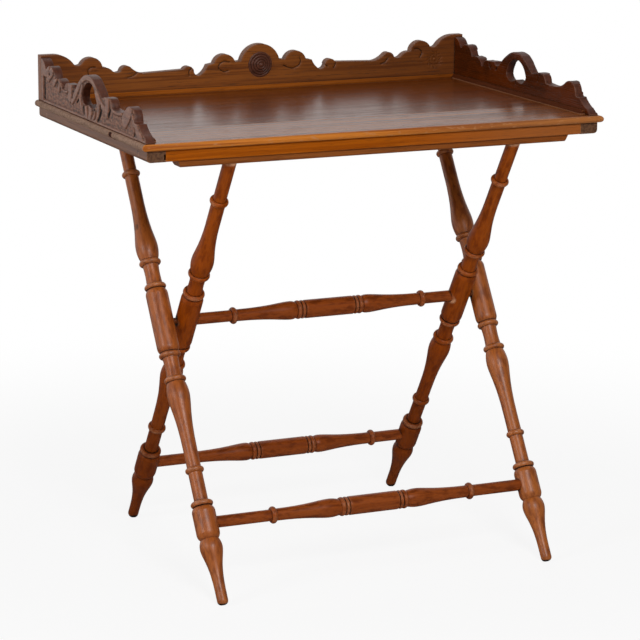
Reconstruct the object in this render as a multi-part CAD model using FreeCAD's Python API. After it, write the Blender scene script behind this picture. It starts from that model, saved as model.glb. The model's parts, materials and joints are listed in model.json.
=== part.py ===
import FreeCAD, Part
import math
import os
from FreeCAD import Vector

# Butler's tray table: a lift-off tray with scalloped galleries on a folding stand of turned legs.
# Millimetres, X to the right, Y to the back, Z up, floor at Z = 0.

# Stance of the crossed legs, measured along the leg from the pivot. Their lean follows from the places
# of the rails under the tray, given as the distances of the rails' middles from its front and back.
RAIL_FRONT_MARGIN = 18.5
RAIL_BACK_MARGIN = 112.5
LEG_BELOW_PIVOT = 464.0
LEG_ABOVE_PIVOT = 331.3
OUTER_LEG_X = 280.3
LEG_GAP = 4.4

# Turning of a leg: lengths along the leg, radii of each member
BARREL_R = 17.8
UPPER_BARREL = 45.7
LOWER_BARREL = 42.7
BARREL_END = 9.0
LIP_R = 14.2
BEAD_WIDTH = 8.6
BEAD_R = 17.4
BEAD_ROOT_R = 12.8
COVE_LENGTH = 32.4
COVE_R = 11.9
VASE_HEAD = 20.7
VASE_R = 17.9
UPPER_VASE_TAIL = 82.0
LOWER_VASE_TAIL = 90.0
WAIST_R = 11.1
UPPER_WAIST = 41.5
LOWER_WAIST = 29.5
COLLAR_WIDTH = 9.0
COLLAR_R = 14.7
TOP_SHAFT_R = 10.4
ANKLE_LENGTH = 46.0
ANKLE_BEAD_WIDTH = 9.0
ANKLE_BEAD_R = 17.6
BLOCK_HEAD = 8.0
BLOCK_LENGTH = 35.5
BLOCK_R = 18.3
FOOT_HEAD = 13.0
FOOT_R = 17.8
FOOT_TAIL = 69.0
TOE_R = 8.7
TOE_ROUND = 6.5
TOE_TRIM = 1.0

# Shape of a turned vase: how full its shoulder is, and how far its full and thin ends run on,
# as shares of the head and of the tail
VASE_SHOULDER = 0.75
VASE_FULLNESS = 0.2
VASE_TAPER = 0.36

# Turned stretchers, from the middle outwards
STRETCHER_MIDDLE = 41.0
STRETCHER_R = 14.9
STRETCHER_MIDDLE_END = 2.5
STRETCHER_LIP_R = 12.6
STRETCHER_RING = 6.5
STRETCHER_BEAD = 8.0
STRETCHER_BEAD_R = 15.1
INNER_VASE_HEAD = 8.5
INNER_VASE_TAIL = 95.0
OUTER_VASE_HEAD = 17.0
OUTER_VASE_TAIL = 91.5
STRETCHER_NECK_R = 9.6
STRETCHER_COLLAR = 9.0
STRETCHER_COLLAR_R = 13.6
STRETCHER_END_R = 9.2
STRETCHER_STOP = 8.0
STRETCHER_OFFSET = 2.5
PIVOT_BAR_OFFSET = 5.0

# Pivot, tenons and glued joints
PIVOT_R = 5.0
PIVOT_DEPTH = 26.0
PIVOT_CLEARANCE = 0.05
PIVOT_END_GAP = 0.5
TENON_R = 6.0
TENON_LENGTH = 6.5
GLUE_GAP = 0.05

# Flat top rails
RAIL_LENGTH = 660.0
RAIL_WIDTH = 30.0
RAIL_THICKNESS = 10.5
RAIL_END_BEVEL = 5.5
RAIL_ROUND = 3.5

# Webbing straps let into the tops of the rails, and their tacks
STRAP_X = 130.0
STRAP_WIDTH = 45.0
STRAP_THICKNESS = 1.6
STRAP_RECESS = 2.9
STRAP_SIDE_GAP = 0.4
STRAP_END_MARGIN = 4.0
TACK_HEAD_R = 3.6
TACK_HEAD = 0.9
TACK_R = 0.9
TACK_LENGTH = 7.0
TACK_EDGE = 7.0
TACKS_PER_END = 3

# Tray frame and floor
FRAME_WIDTH = 760.0
FRAME_DEPTH = 488.0
FRAME_THICKNESS = 17.5
SIDE_BATTEN = 30.0
CROSS_BATTEN = 45.0
SIDE_BATTEN_ROUND = 6.0
CROSS_BATTEN_ROUND = 1.5
FLOOR_THICKNESS = 10.5
FLOOR_OVERHANG = 7.5
NOSING_BULGE = 4.6
FRONT_BOARD = 133.5
FLOOR_JOINT = 0.3
OPEN_JOINT_WIDTH = 3.0
OPEN_JOINT_HEIGHT = 8.0
OPEN_JOINT_DEPTH = 6.0
OPEN_JOINT_RISE = 3.0

# Galleries and what is set on them
GALLERY_THICKNESS = 15.5
GALLERY_OVERHANG = 1.5
SIDE_FRONT_MARGIN = 1.0
HAND_HOLE_LENGTH = 68.0
HAND_HOLE_HEIGHT = 36.0
HAND_HOLE_RISE = 22.5
HAND_HOLE_SHOULDER = 10.0
HAND_HOLE_POINT = 2.5
HAND_HOLE_FOOT = 17.0
HAND_HOLE_CURL = 6.8
HAND_HOLE_CURL_RISE = 2.0
HANDLE_BEHIND_MIDDLE = 12.0
STRIP_HEIGHT = 7.0
STRIP_DEPTH = 7.0
STRIP_BEVEL = 4.0
STRIP_FRONT_MARGIN = 16.0
ROUNDEL_R = 21.4
ROUNDEL_RISE = 40.5
ROUNDEL_OFFSET = 3.0
ROUNDEL_SEAT = 5.0
ROUNDEL_CROWN = 7.0
ROUNDEL_BEAD = 1.3
ROUNDEL_BUTTON = 2.2
ROUNDEL_RINGS = 5

# Screws and pegs
SCREW_R = 2.0
SCREW_HEAD_R = 4.0
SCREW_HEAD = 3.0
SCREW_TIP = 4.0
SCREW_SLOT_WIDTH = 1.0
SCREW_SLOT_DEPTH = 0.8
SCREW_SINK = 0.3
GALLERY_SCREW_BITE = 20.0
GALLERY_SCREW_INSET = 4.0
SIDE_SCREW_MARGIN = 62.0
SIDE_SCREWS = 4
BACK_SCREW_MARGIN = 80.0
BACK_SCREWS = 4
FRAME_SCREW_BITE = 7.0
FRAME_SCREW_MARGIN = 100.0
FRAME_SCREWS = 3
PEG_R = 2.6
FRAME_PEG_LENGTH = 58.0
FRAME_PEG_INSET = 36.0
GALLERY_PEG_LENGTH = 50.0
GALLERY_PEG_RISE = 16.0
GALLERY_PEG_SPACING = 26.0

# Top edge of the back gallery from the middle outwards, drawn for a half length of BACK_DRAWN. The pattern sits
# BACK_OFFSET to the right of the middle of the board.
# Each step is the end of a line, or a point on an arc and the end of that arc.
BACK_DRAWN = 380.0
BACK_OFFSET = 3.5
BACK_CREST = 75.0
BACK_EDGE = (
    ((25.1, 64.6), (34.5, 47.9)),
    ((45.0, 47.0),),
    ((63.0, 60.5), (83.0, 46.0)),
    ((94.0, 44.0),),
    ((100.0, 34.0), (108.0, 27.5)),
    ((115.5, 29.0), (118.5, 36.0)),
    ((125.0, 43.0), (137.0, 38.5)),
    ((208.0, 36.0),),
    ((221.0, 40.5), (230.0, 47.5)),
    ((240.0, 49.0), (247.0, 41.0)),
    ((253.0, 39.2), (261.0, 42.5)),
    ((268.0, 47.5), (278.0, 49.0)),
    ((294.0, 66.0), (315.0, 55.5)),
    ((321.0, 54.0), (327.0, 56.5)),
    ((340.0, 68.5), (362.0, 74.0)),
    ((380.0, 74.0),),
)

# Top edge of a side gallery from the back board forwards, drawn for a length of SIDE_DRAWN
SIDE_DRAWN = 471.5
SIDE_REAR_HEIGHT = 70.0
SIDE_EDGE = (
    ((15.0, 65.0), (22.5, 56.0)),
    ((25.0, 54.8), (28.5, 57.0)),
    ((42.0, 62.0), (53.0, 60.5)),
    ((60.5, 54.0), (65.0, 43.5)),
    ((78.0, 46.5), (92.0, 44.0)),
    ((97.0, 40.0), (100.0, 35.0)),
    ((103.5, 33.0), (107.5, 36.0)),
    ((113.0, 42.5), (123.0, 44.5)),
    ((147.0, 45.5),),
    ((155.5, 39.5), (163.0, 42.0)),
    ((180.5, 55.5), (201.0, 66.5)),
    ((222.5, 70.5), (244.0, 66.8)),
    ((263.0, 54.5), (278.5, 42.3)),
    ((297.0, 46.3), (315.0, 46.5)),
    ((320.5, 42.5), (324.5, 33.0)),
    ((345.0, 31.3), (370.0, 33.5)),
    ((379.0, 36.3), (388.0, 40.5)),
    ((404.0, 46.6), (417.0, 43.0)),
    ((421.5, 36.5), (424.0, 27.0)),
    ((425.5, 25.2), (428.0, 24.8)),
    ((436.8, 24.8),),
    ((445.0, 18.0), (455.0, 12.3)),
    ((465.0, 7.4), (471.5, 1.5)),
)

# Places that follow from the sizes
RAIL_Y = (FRAME_DEPTH - RAIL_FRONT_MARGIN - RAIL_BACK_MARGIN) / 2
LEAN = math.asin(RAIL_Y / LEG_ABOVE_PIVOT)
LEG_LEAN = math.degrees(LEAN)
PIVOT_Z = LEG_BELOW_PIVOT * math.cos(LEAN)
RAIL_BOTTOM = PIVOT_Z + LEG_ABOVE_PIVOT * math.cos(LEAN)
RAIL_TOP = RAIL_BOTTOM + RAIL_THICKNESS
INNER_LEG_X = OUTER_LEG_X - 2 * BARREL_R - LEG_GAP
LOWER_TURNING = (LOWER_BARREL + BARREL_END + 2 * BEAD_WIDTH + COVE_LENGTH + VASE_HEAD
                 + LOWER_VASE_TAIL + LOWER_WAIST + COLLAR_WIDTH + ANKLE_LENGTH + ANKLE_BEAD_WIDTH)
BLOCK_CENTRE = LOWER_TURNING + (BLOCK_HEAD + BLOCK_LENGTH + BARREL_END) / 2
TOE_FLAT_R = TOE_R - TOE_ROUND
TOE_CENTRE = (PIVOT_Z + TOE_TRIM - TOE_FLAT_R * math.sin(LEAN) - TOE_ROUND) / math.cos(LEAN)
LOWER_Y = BLOCK_CENTRE * math.sin(LEAN)
LOWER_Z = PIVOT_Z - BLOCK_CENTRE * math.cos(LEAN)
STRAP_FLOOR = RAIL_TOP - STRAP_RECESS
STRAP_END = RAIL_Y + RAIL_WIDTH / 2 - STRAP_END_MARGIN
HALF_WIDTH = FRAME_WIDTH / 2
TRAY_FRONT = -RAIL_Y - RAIL_FRONT_MARGIN
TRAY_BACK = TRAY_FRONT + FRAME_DEPTH
FRAME_TOP = RAIL_TOP + FRAME_THICKNESS
FLOOR_TOP = FRAME_TOP + FLOOR_THICKNESS
FLOOR_FRONT = TRAY_FRONT - FLOOR_OVERHANG
FLOOR_HALF_WIDTH = HALF_WIDTH + FLOOR_OVERHANG
BOARD_JOINT = FLOOR_FRONT + FRONT_BOARD
CROSS_HALF = HALF_WIDTH - SIDE_BATTEN
GALLERY_OUTSIDE = HALF_WIDTH + GALLERY_OVERHANG
GALLERY_INSIDE = GALLERY_OUTSIDE - GALLERY_THICKNESS
BACK_FACE = TRAY_BACK - GALLERY_THICKNESS
SIDE_FRONT = TRAY_FRONT + SIDE_FRONT_MARGIN
SIDE_LENGTH = BACK_FACE - SIDE_FRONT
HANDLE_Y = (BACK_FACE + SIDE_FRONT) / 2 + HANDLE_BEHIND_MIDDLE
GALLERY_SCREW = FRAME_THICKNESS + FLOOR_THICKNESS - SCREW_SINK + GALLERY_SCREW_BITE
FRAME_SCREW = FRAME_THICKNESS - SCREW_SINK + FRAME_SCREW_BITE
SIDES = (("left", -1), ("right", 1))
BACKWARD = 1
FORWARD = -1


def line(start, end):
    """A straight edge."""
    return Part.makeLine(start, end)


def arc(start, middle, end):
    """An arc edge through three points."""
    return Part.Arc(start, middle, end).toShape()


def polygon(points):
    """The edges of a closed polygon."""
    return [line(points[index - 1], points[index]) for index in range(len(points))]


def corner_arc(corner, one_way, other_way, radius):
    """The arc that rounds a square corner; both ways point from the corner along its sides."""
    centre = corner + (one_way + other_way) * radius
    middle = centre - (one_way + other_way) * (radius * math.sqrt(0.5))
    return arc(corner + one_way * radius, middle, corner + other_way * radius)


def closed(edges):
    """The wire of edges that close on themselves, given in any order."""
    return Part.Wire(Part.__sortEdges__(edges))


def prism(edges, push):
    """A closed flat outline pushed along a vector."""
    return Part.Face(closed(edges)).extrude(push)


def box(low, high):
    """A box between two opposite corners."""
    size = high - low
    return Part.makeBox(size.x, size.y, size.z, low)


def bar_along_x(radius, one_end, other_end, y, z):
    """A round bar along X between two ends, given in either order."""
    low = min(one_end, other_end)
    return Part.makeCylinder(radius, abs(other_end - one_end), Vector(low, y, z), Vector(1, 0, 0))


def cap_arc(rim, height):
    """The arc of a domed cap from its rim up to the Z axis, where its centre lies as well."""
    radius = (rim.x ** 2 + height ** 2) / (2 * height)
    half_angle = math.atan2(rim.x, radius - height) / 2
    top = Vector(0, 0, rim.z + height)
    middle = Vector(radius * math.sin(half_angle), 0, top.z - radius * (1 - math.cos(half_angle)))
    return arc(rim, middle, top)


def without(shape, cutters):
    """A solid with holes and recesses taken out."""
    return shape.cut(Part.makeCompound(cutters)).Solids[0]


def evenly(low, high, count):
    """Evenly spaced places from low to high."""
    return [low + (high - low) * index / (count - 1) for index in range(count)]


class Turning:
    """A lathe profile about the Z axis, drawn member by member away from the origin."""

    def __init__(self, radius, direction):
        self.length = 0.0
        self.radius = radius
        self.direction = direction
        self.edges = []

    def point(self, step, radius):
        return Vector(radius, 0, self.direction * (self.length + step))

    def add(self, edge, length, radius):
        self.edges.append(edge)
        self.length += length
        self.radius = radius

    def straight(self, length, end_radius):
        edge = line(self.point(0, self.radius), self.point(length, end_radius))
        self.add(edge, length, end_radius)

    def face(self, end_radius):
        self.straight(0, end_radius)

    def curve(self, length, middle_radius, end_radius):
        middle = self.point(length / 2, middle_radius)
        edge = arc(self.point(0, self.radius), middle, self.point(length, end_radius))
        self.add(edge, length, end_radius)

    def shoulder(self, length, full_radius):
        """The head of a vase, rounded up to its fullest place."""
        middle_radius = self.radius + VASE_SHOULDER * (full_radius - self.radius)
        self.curve(length, middle_radius, full_radius)

    def round_end(self, length, end_radius):
        """The end of a barrel, rounded in from its full radius."""
        middle_radius = end_radius + VASE_SHOULDER * (self.radius - end_radius)
        self.curve(length, middle_radius, end_radius)

    def tail(self, length, end_radius):
        """The tail of a vase, full and then thin, level at both ends."""
        bezier = Part.BezierCurve()
        bezier.setPoles([self.point(0, self.radius), self.point(VASE_FULLNESS * length, self.radius),
                         self.point(VASE_TAPER * length, end_radius), self.point(length, end_radius)])
        self.add(bezier.toShape(), length, end_radius)

    def end(self):
        return Vector(0, 0, self.direction * self.length)


def turned(upward, downward):
    """The solid of two turnings that meet at the origin."""
    edges = upward.edges + downward.edges + [line(downward.end(), upward.end())]
    return Part.Face(closed(edges)).revolve(Vector(), Vector(0, 0, 1), 360)


def leg_arm(direction, barrel, tail):
    """What both arms of a leg have: barrel, bead, cove, bead and vase."""
    arm = Turning(BARREL_R, direction)
    arm.straight(barrel, BARREL_R)
    arm.round_end(BARREL_END, LIP_R)
    arm.curve(BEAD_WIDTH, BEAD_R, BEAD_ROOT_R)
    arm.curve(COVE_LENGTH, COVE_R, BEAD_ROOT_R)
    arm.curve(BEAD_WIDTH, BEAD_R, LIP_R)
    arm.shoulder(VASE_HEAD, VASE_R)
    arm.tail(tail, WAIST_R)
    return arm


def leg_blank():
    """A leg along Z with its pivot at the origin, still too long at both ends."""
    upper = leg_arm(1, UPPER_BARREL, UPPER_VASE_TAIL)
    upper.straight(UPPER_WAIST, WAIST_R)
    upper.curve(COLLAR_WIDTH, COLLAR_R, TOP_SHAFT_R)
    upper.straight(LEG_ABOVE_PIVOT + TOP_SHAFT_R - upper.length, TOP_SHAFT_R)
    upper.face(0)

    lower = leg_arm(-1, LOWER_BARREL, LOWER_VASE_TAIL)
    lower.straight(LOWER_WAIST, WAIST_R)
    lower.curve(COLLAR_WIDTH, COLLAR_R, WAIST_R)
    lower.straight(ANKLE_LENGTH, WAIST_R)
    lower.face(BEAD_ROOT_R)
    lower.curve(ANKLE_BEAD_WIDTH, ANKLE_BEAD_R, LIP_R)
    lower.shoulder(BLOCK_HEAD, BLOCK_R)
    lower.straight(BLOCK_LENGTH, BLOCK_R)
    lower.round_end(BARREL_END, LIP_R)
    lower.shoulder(FOOT_HEAD, FOOT_R)
    lower.tail(FOOT_TAIL, TOE_R)
    lower.straight(TOE_CENTRE - lower.length, TOE_R)
    corner = lower.point(TOE_ROUND, TOE_R)
    lower.add(corner_arc(corner, Vector(0, 0, 1), Vector(-1, 0, 0), TOE_ROUND), TOE_ROUND, TOE_FLAT_R)
    lower.face(0)
    return turned(upper, lower)


def leaning(shape, x, direction):
    """A shape drawn along an upright leg, tipped about the pivot and moved to its side of the stand."""
    shape.rotate(Vector(), Vector(1, 0, 0), -direction * LEG_LEAN)
    shape.translate(Vector(x, 0, PIVOT_Z))
    return shape


def leg_tenon(x, direction, gap):
    """The tenon on the top of a leg or, with a gap, the cutter of its hole in the rail."""
    root = Vector(0, 0, LEG_ABOVE_PIVOT - TENON_LENGTH)
    return leaning(Part.makeCylinder(TENON_R + gap, 2 * TENON_LENGTH + gap, root), x, direction)


def stretcher_hole(side, leg_x, y, z):
    """The cutter of the blind hole in the inner side of a leg for the end of a stretcher."""
    bottom = leg_x - STRETCHER_STOP + GLUE_GAP
    return bar_along_x(STRETCHER_END_R + GLUE_GAP, side * bottom, side * (leg_x - 2 * BARREL_R), y, z)


def leg(side, leg_x, direction):
    """A leg in its place, cut level on the floor and under the rail, with its tenon and stretcher hole."""
    x = side * leg_x
    reach = LEG_BELOW_PIVOT
    level = box(Vector(x - reach, -reach, 0), Vector(x + reach, reach, RAIL_BOTTOM))
    shaped = leaning(leg_blank(), x, direction).common(level).fuse(leg_tenon(x, direction, 0))
    return without(shaped, [stretcher_hole(side, leg_x, -direction * LOWER_Y, LOWER_Z)])


def outer_leg(side):
    """An outer leg turns on the spigot of the pivot bar, in a blind hole."""
    inner_side = OUTER_LEG_X - BARREL_R
    hole = bar_along_x(PIVOT_R + PIVOT_CLEARANCE, side * (inner_side - BARREL_R),
                       side * (inner_side + PIVOT_DEPTH), 0, PIVOT_Z)
    return without(leg(side, OUTER_LEG_X, BACKWARD), [hole])


def inner_leg(side):
    """An inner leg is glued to the pivot bar, whose spigot passes through it."""
    through = bar_along_x(PIVOT_R + GLUE_GAP, side * (INNER_LEG_X - 2 * BARREL_R),
                          side * (INNER_LEG_X + 2 * BARREL_R), 0, PIVOT_Z)
    seat = stretcher_hole(side, INNER_LEG_X, 0, PIVOT_Z)
    return without(leg(side, INNER_LEG_X, FORWARD), [through, seat])


def stretcher(leg_x, vase_head, vase_tail, offset, y, z):
    """A turned stretcher between two legs, seated in a blind hole at each end. The turner's middle lies a
    small offset to the right of the stand's."""
    halves = []
    for direction in (1, -1):
        half = Turning(STRETCHER_R, direction)
        half.straight(STRETCHER_MIDDLE + direction * offset, STRETCHER_R)
        half.round_end(STRETCHER_MIDDLE_END, STRETCHER_LIP_R)
        half.curve(STRETCHER_RING, STRETCHER_R, STRETCHER_LIP_R)
        half.curve(STRETCHER_BEAD, STRETCHER_BEAD_R, STRETCHER_LIP_R)
        half.shoulder(vase_head, STRETCHER_R)
        half.tail(vase_tail, STRETCHER_NECK_R)
        half.curve(STRETCHER_COLLAR, STRETCHER_COLLAR_R, STRETCHER_END_R)
        half.straight(leg_x - STRETCHER_STOP - half.length, STRETCHER_END_R)
        half.face(0)
        halves.append(half)
    shape = turned(*halves)
    shape.rotate(Vector(), Vector(0, 1, 0), 90)
    shape.translate(Vector(0, y, z))
    return shape


def pivot_bar():
    """The bar at the crossing, with a spigot on each end that reaches into the outer legs."""
    shape = stretcher(INNER_LEG_X, INNER_VASE_HEAD, INNER_VASE_TAIL, PIVOT_BAR_OFFSET, 0, PIVOT_Z)
    tip = OUTER_LEG_X - BARREL_R + PIVOT_DEPTH - PIVOT_END_GAP
    root = INNER_LEG_X - STRETCHER_STOP
    spigots = [bar_along_x(PIVOT_R, side * root, side * tip, 0, PIVOT_Z) for name, side in SIDES]
    return shape.fuse(spigots).removeSplitter().Solids[0]


def tack_places(direction):
    """Where the tacks of both straps stand on one rail."""
    across = STRAP_WIDTH / 2 - TACK_EDGE
    return [Vector(side * STRAP_X + offset, direction * RAIL_Y, STRAP_FLOOR + STRAP_THICKNESS)
            for name, side in SIDES for offset in evenly(-across, across, TACKS_PER_END)]


def tack_hole(place):
    """The cutter of a tack's hole, through the strap and into the rail."""
    return Part.makeCylinder(TACK_R + GLUE_GAP, TACK_LENGTH + GLUE_GAP, place, Vector(0, 0, -1))


def tack(place):
    """A tack with a domed head on top of the strap."""
    base = Vector(0, 0, -TACK_LENGTH)
    root = Vector(TACK_R, 0, base.z + TACK_R)
    neck = Vector(TACK_R, 0, 0)
    rim = Vector(TACK_HEAD_R, 0, 0)
    top = Vector(0, 0, TACK_HEAD)
    edges = [line(base, root), line(root, neck), line(neck, rim), cap_arc(rim, TACK_HEAD),
             line(top, base)]
    shape = Part.Face(closed(edges)).revolve(Vector(), Vector(0, 0, 1), 360)
    shape.translate(place)
    return shape


def strap(side):
    """A webbing strap from rail to rail, taut when the stand is open."""
    low = Vector(side * STRAP_X - STRAP_WIDTH / 2, -STRAP_END, STRAP_FLOOR)
    band = box(low, low + Vector(STRAP_WIDTH, 2 * STRAP_END, STRAP_THICKNESS))
    return without(band, [tack_hole(place) for direction in (FORWARD, BACKWARD)
                          for place in tack_places(direction)])


def strap_recess(side, direction):
    """The cutter of a strap's recess across the inner part of a rail's top."""
    half = STRAP_WIDTH / 2 + STRAP_SIDE_GAP
    inner = direction * (RAIL_Y - RAIL_WIDTH)
    outer = direction * (STRAP_END + STRAP_SIDE_GAP)
    return box(Vector(side * STRAP_X - half, min(inner, outer), STRAP_FLOOR),
               Vector(side * STRAP_X + half, max(inner, outer), RAIL_TOP + STRAP_RECESS))


def top_rail(leg_x, direction):
    """A flat rail on the tops of two legs, bevelled at its ends and rounded along its lower edges."""
    half = RAIL_LENGTH / 2
    front = direction * RAIL_Y - RAIL_WIDTH / 2
    back = front + RAIL_WIDTH
    x = -half
    up = Vector(0, 0, 1)
    inward = Vector(0, 1, 0)
    front_corner = Vector(x, front, RAIL_BOTTOM)
    back_corner = Vector(x, back, RAIL_BOTTOM)
    front_top = Vector(x, front, RAIL_TOP)
    back_top = Vector(x, back, RAIL_TOP)
    section = [corner_arc(front_corner, up, inward, RAIL_ROUND),
               line(front_corner + inward * RAIL_ROUND, back_corner - inward * RAIL_ROUND),
               corner_arc(back_corner, inward * -1, up, RAIL_ROUND),
               line(back_corner + up * RAIL_ROUND, back_top),
               line(back_top, front_top),
               line(front_top, front_corner + up * RAIL_ROUND)]
    low_half = half - RAIL_END_BEVEL
    side_view = polygon([Vector(-low_half, front, RAIL_BOTTOM), Vector(low_half, front, RAIL_BOTTOM),
                         Vector(half, front, RAIL_TOP), Vector(-half, front, RAIL_TOP)])
    bar = prism(section, Vector(RAIL_LENGTH, 0, 0)).common(prism(side_view, Vector(0, RAIL_WIDTH, 0)))
    cutters = [tack_hole(place) for place in tack_places(direction)]
    for name, side in SIDES:
        cutters.append(strap_recess(side, direction))
        cutters.append(leg_tenon(side * leg_x, direction, GLUE_GAP))
    return without(bar, cutters)


def screw(place, length):
    """A countersunk wood screw, driven upwards from the underside of the frame."""
    head = Part.makeCone(SCREW_HEAD_R, SCREW_R, SCREW_HEAD)
    shank = Part.makeCylinder(SCREW_R, length - SCREW_HEAD - SCREW_TIP, Vector(0, 0, SCREW_HEAD))
    tip = Part.makeCone(SCREW_R, 0, SCREW_TIP, Vector(0, 0, length - SCREW_TIP))
    slot = box(Vector(-SCREW_HEAD_R, -SCREW_SLOT_WIDTH / 2, 0),
               Vector(SCREW_HEAD_R, SCREW_SLOT_WIDTH / 2, SCREW_SLOT_DEPTH))
    shape = head.fuse([shank, tip]).removeSplitter().cut(slot).Solids[0]
    shape.translate(Vector(place.x, place.y, RAIL_TOP + SCREW_SINK))
    return shape


def screw_hole(place, length):
    """The cutter of a screw's countersunk hole."""
    start = Vector(place.x, place.y, RAIL_TOP)
    head_start = start + Vector(0, 0, SCREW_SINK)
    sink = Part.makeCylinder(SCREW_HEAD_R + GLUE_GAP, SCREW_SINK, start)
    seat = Part.makeCone(SCREW_HEAD_R + GLUE_GAP, SCREW_R + GLUE_GAP, SCREW_HEAD, head_start)
    bore = Part.makeCylinder(SCREW_R + GLUE_GAP, length + GLUE_GAP, head_start)
    return sink.fuse([seat, bore])


def side_screw_places(side):
    """Where the screws of a side gallery stand."""
    x = side * (GALLERY_INSIDE + GALLERY_SCREW_INSET)
    return [Vector(x, y, 0) for y in evenly(SIDE_FRONT + SIDE_SCREW_MARGIN, BACK_FACE - SIDE_SCREW_MARGIN,
                                            SIDE_SCREWS)]


def back_screw_places():
    """Where the screws of the back gallery stand."""
    reach = HALF_WIDTH - BACK_SCREW_MARGIN
    return [Vector(x, BACK_FACE + GALLERY_SCREW_INSET, 0) for x in evenly(-reach, reach, BACK_SCREWS)]


def cross_screw_places(y):
    """Where the screws of a cross batten stand."""
    reach = CROSS_HALF - FRAME_SCREW_MARGIN
    return [Vector(x, y, 0) for x in evenly(-reach, reach, FRAME_SCREWS)]


GALLERY_SCREW_PLACES = side_screw_places(-1) + side_screw_places(1) + back_screw_places()
FRAME_SCREW_PLACES = cross_screw_places(TRAY_FRONT + CROSS_BATTEN / 2) + cross_screw_places(RAIL_Y)


def screw_holes():
    """The cutters of all the screw holes in the tray."""
    holes = [screw_hole(place, GALLERY_SCREW) for place in GALLERY_SCREW_PLACES]
    return holes + [screw_hole(place, FRAME_SCREW) for place in FRAME_SCREW_PLACES]


def frame_pegs(gap):
    """The pegs of the side and cross battens or, with a gap, the cutters of their holes."""
    z = RAIL_TOP + FRAME_THICKNESS / 2
    places = (TRAY_FRONT + FRAME_PEG_INSET, TRAY_BACK - FRAME_PEG_INSET)
    return [bar_along_x(PEG_R + gap, side * HALF_WIDTH, side * (HALF_WIDTH - FRAME_PEG_LENGTH - gap), y, z)
            for name, side in SIDES for y in places]


def gallery_pegs(gap):
    """The pegs of the back and side galleries or, with a gap, the cutters of their holes."""
    x = GALLERY_OUTSIDE - GALLERY_THICKNESS / 2
    low = FLOOR_TOP + GALLERY_PEG_RISE
    places = [Vector(side * x, TRAY_BACK, z)
              for name, side in SIDES for z in (low, low + GALLERY_PEG_SPACING)]
    return [Part.makeCylinder(PEG_R + gap, GALLERY_PEG_LENGTH + gap, place, Vector(0, -1, 0))
            for place in places]


def side_batten(side):
    """A side batten over the full depth, with its lower outer edge rounded off."""
    outer = side * HALF_WIDTH
    inner = side * CROSS_HALF
    up = Vector(0, 0, 1)
    inward = Vector(-side, 0, 0)
    corner = Vector(outer, TRAY_FRONT, RAIL_TOP)
    inner_low = Vector(inner, TRAY_FRONT, RAIL_TOP)
    inner_top = Vector(inner, TRAY_FRONT, FRAME_TOP)
    outer_top = Vector(outer, TRAY_FRONT, FRAME_TOP)
    section = [corner_arc(corner, up, inward, SIDE_BATTEN_ROUND),
               line(corner + inward * SIDE_BATTEN_ROUND, inner_low), line(inner_low, inner_top),
               line(inner_top, outer_top), line(outer_top, corner + up * SIDE_BATTEN_ROUND)]
    batten = prism(section, Vector(0, FRAME_DEPTH, 0))
    return without(batten, screw_holes() + frame_pegs(GLUE_GAP))


def open_joint():
    """The cutter of the open stretch at the left end of the front batten, in the side batten's end."""
    low = Vector(-CROSS_HALF - OPEN_JOINT_WIDTH, TRAY_FRONT, RAIL_TOP + OPEN_JOINT_RISE)
    return box(low, low + Vector(OPEN_JOINT_WIDTH, OPEN_JOINT_DEPTH, OPEN_JOINT_HEIGHT))


def cross_batten(front):
    """A batten between the side battens, with its lower front edge eased."""
    x = -CROSS_HALF
    up = Vector(0, 0, 1)
    inward = Vector(0, 1, 0)
    corner = Vector(x, front, RAIL_TOP)
    back_low = corner + inward * CROSS_BATTEN
    back_top = back_low + up * FRAME_THICKNESS
    front_top = corner + up * FRAME_THICKNESS
    section = [corner_arc(corner, up, inward, CROSS_BATTEN_ROUND),
               line(corner + inward * CROSS_BATTEN_ROUND, back_low), line(back_low, back_top),
               line(back_top, front_top), line(front_top, corner + up * CROSS_BATTEN_ROUND)]
    batten = prism(section, Vector(2 * CROSS_HALF, 0, 0))
    return without(batten, screw_holes() + frame_pegs(GLUE_GAP))


def floor_ends(front, back):
    """Floor boards between two places in Y, with rounded ends at both sides."""
    middle = FRAME_TOP + FLOOR_THICKNESS / 2
    flat = FLOOR_HALF_WIDTH - NOSING_BULGE
    edges = [line(Vector(-flat, front, FLOOR_TOP), Vector(flat, front, FLOOR_TOP)),
             line(Vector(-flat, front, FRAME_TOP), Vector(flat, front, FRAME_TOP))]
    for name, side in SIDES:
        edges.append(arc(Vector(side * flat, front, FLOOR_TOP),
                         Vector(side * FLOOR_HALF_WIDTH, front, middle),
                         Vector(side * flat, front, FRAME_TOP)))
    return prism(edges, Vector(0, back - front, 0))


def floor_board_front():
    """The front floor board, with a rounded nosing along its front as well."""
    x = -FLOOR_HALF_WIDTH
    back = BOARD_JOINT - FLOOR_JOINT / 2
    flat = FLOOR_FRONT + NOSING_BULGE
    top_front = Vector(x, flat, FLOOR_TOP)
    low_front = Vector(x, flat, FRAME_TOP)
    top_back = Vector(x, back, FLOOR_TOP)
    low_back = Vector(x, back, FRAME_TOP)
    nose = Vector(x, FLOOR_FRONT, FRAME_TOP + FLOOR_THICKNESS / 2)
    section = [arc(top_front, nose, low_front), line(low_front, low_back), line(low_back, top_back),
               line(top_back, top_front)]
    board = prism(section, Vector(2 * FLOOR_HALF_WIDTH, 0, 0)).common(floor_ends(FLOOR_FRONT, back))
    return without(board, screw_holes())


def floor_board_back():
    """The wide floor board under the back gallery."""
    return without(floor_ends(BOARD_JOINT + FLOOR_JOINT / 2, TRAY_BACK), screw_holes())


def scalloped(steps, start, place):
    """The edges of a scalloped outline; place turns a drawn point into a point in space."""
    edges = []
    here = start
    for step in steps:
        end = step[-1]
        if len(step) == 2:
            edges.append(arc(place(here), place(step[0]), place(end)))
        else:
            edges.append(line(place(here), place(end)))
        here = end
    return edges


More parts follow.
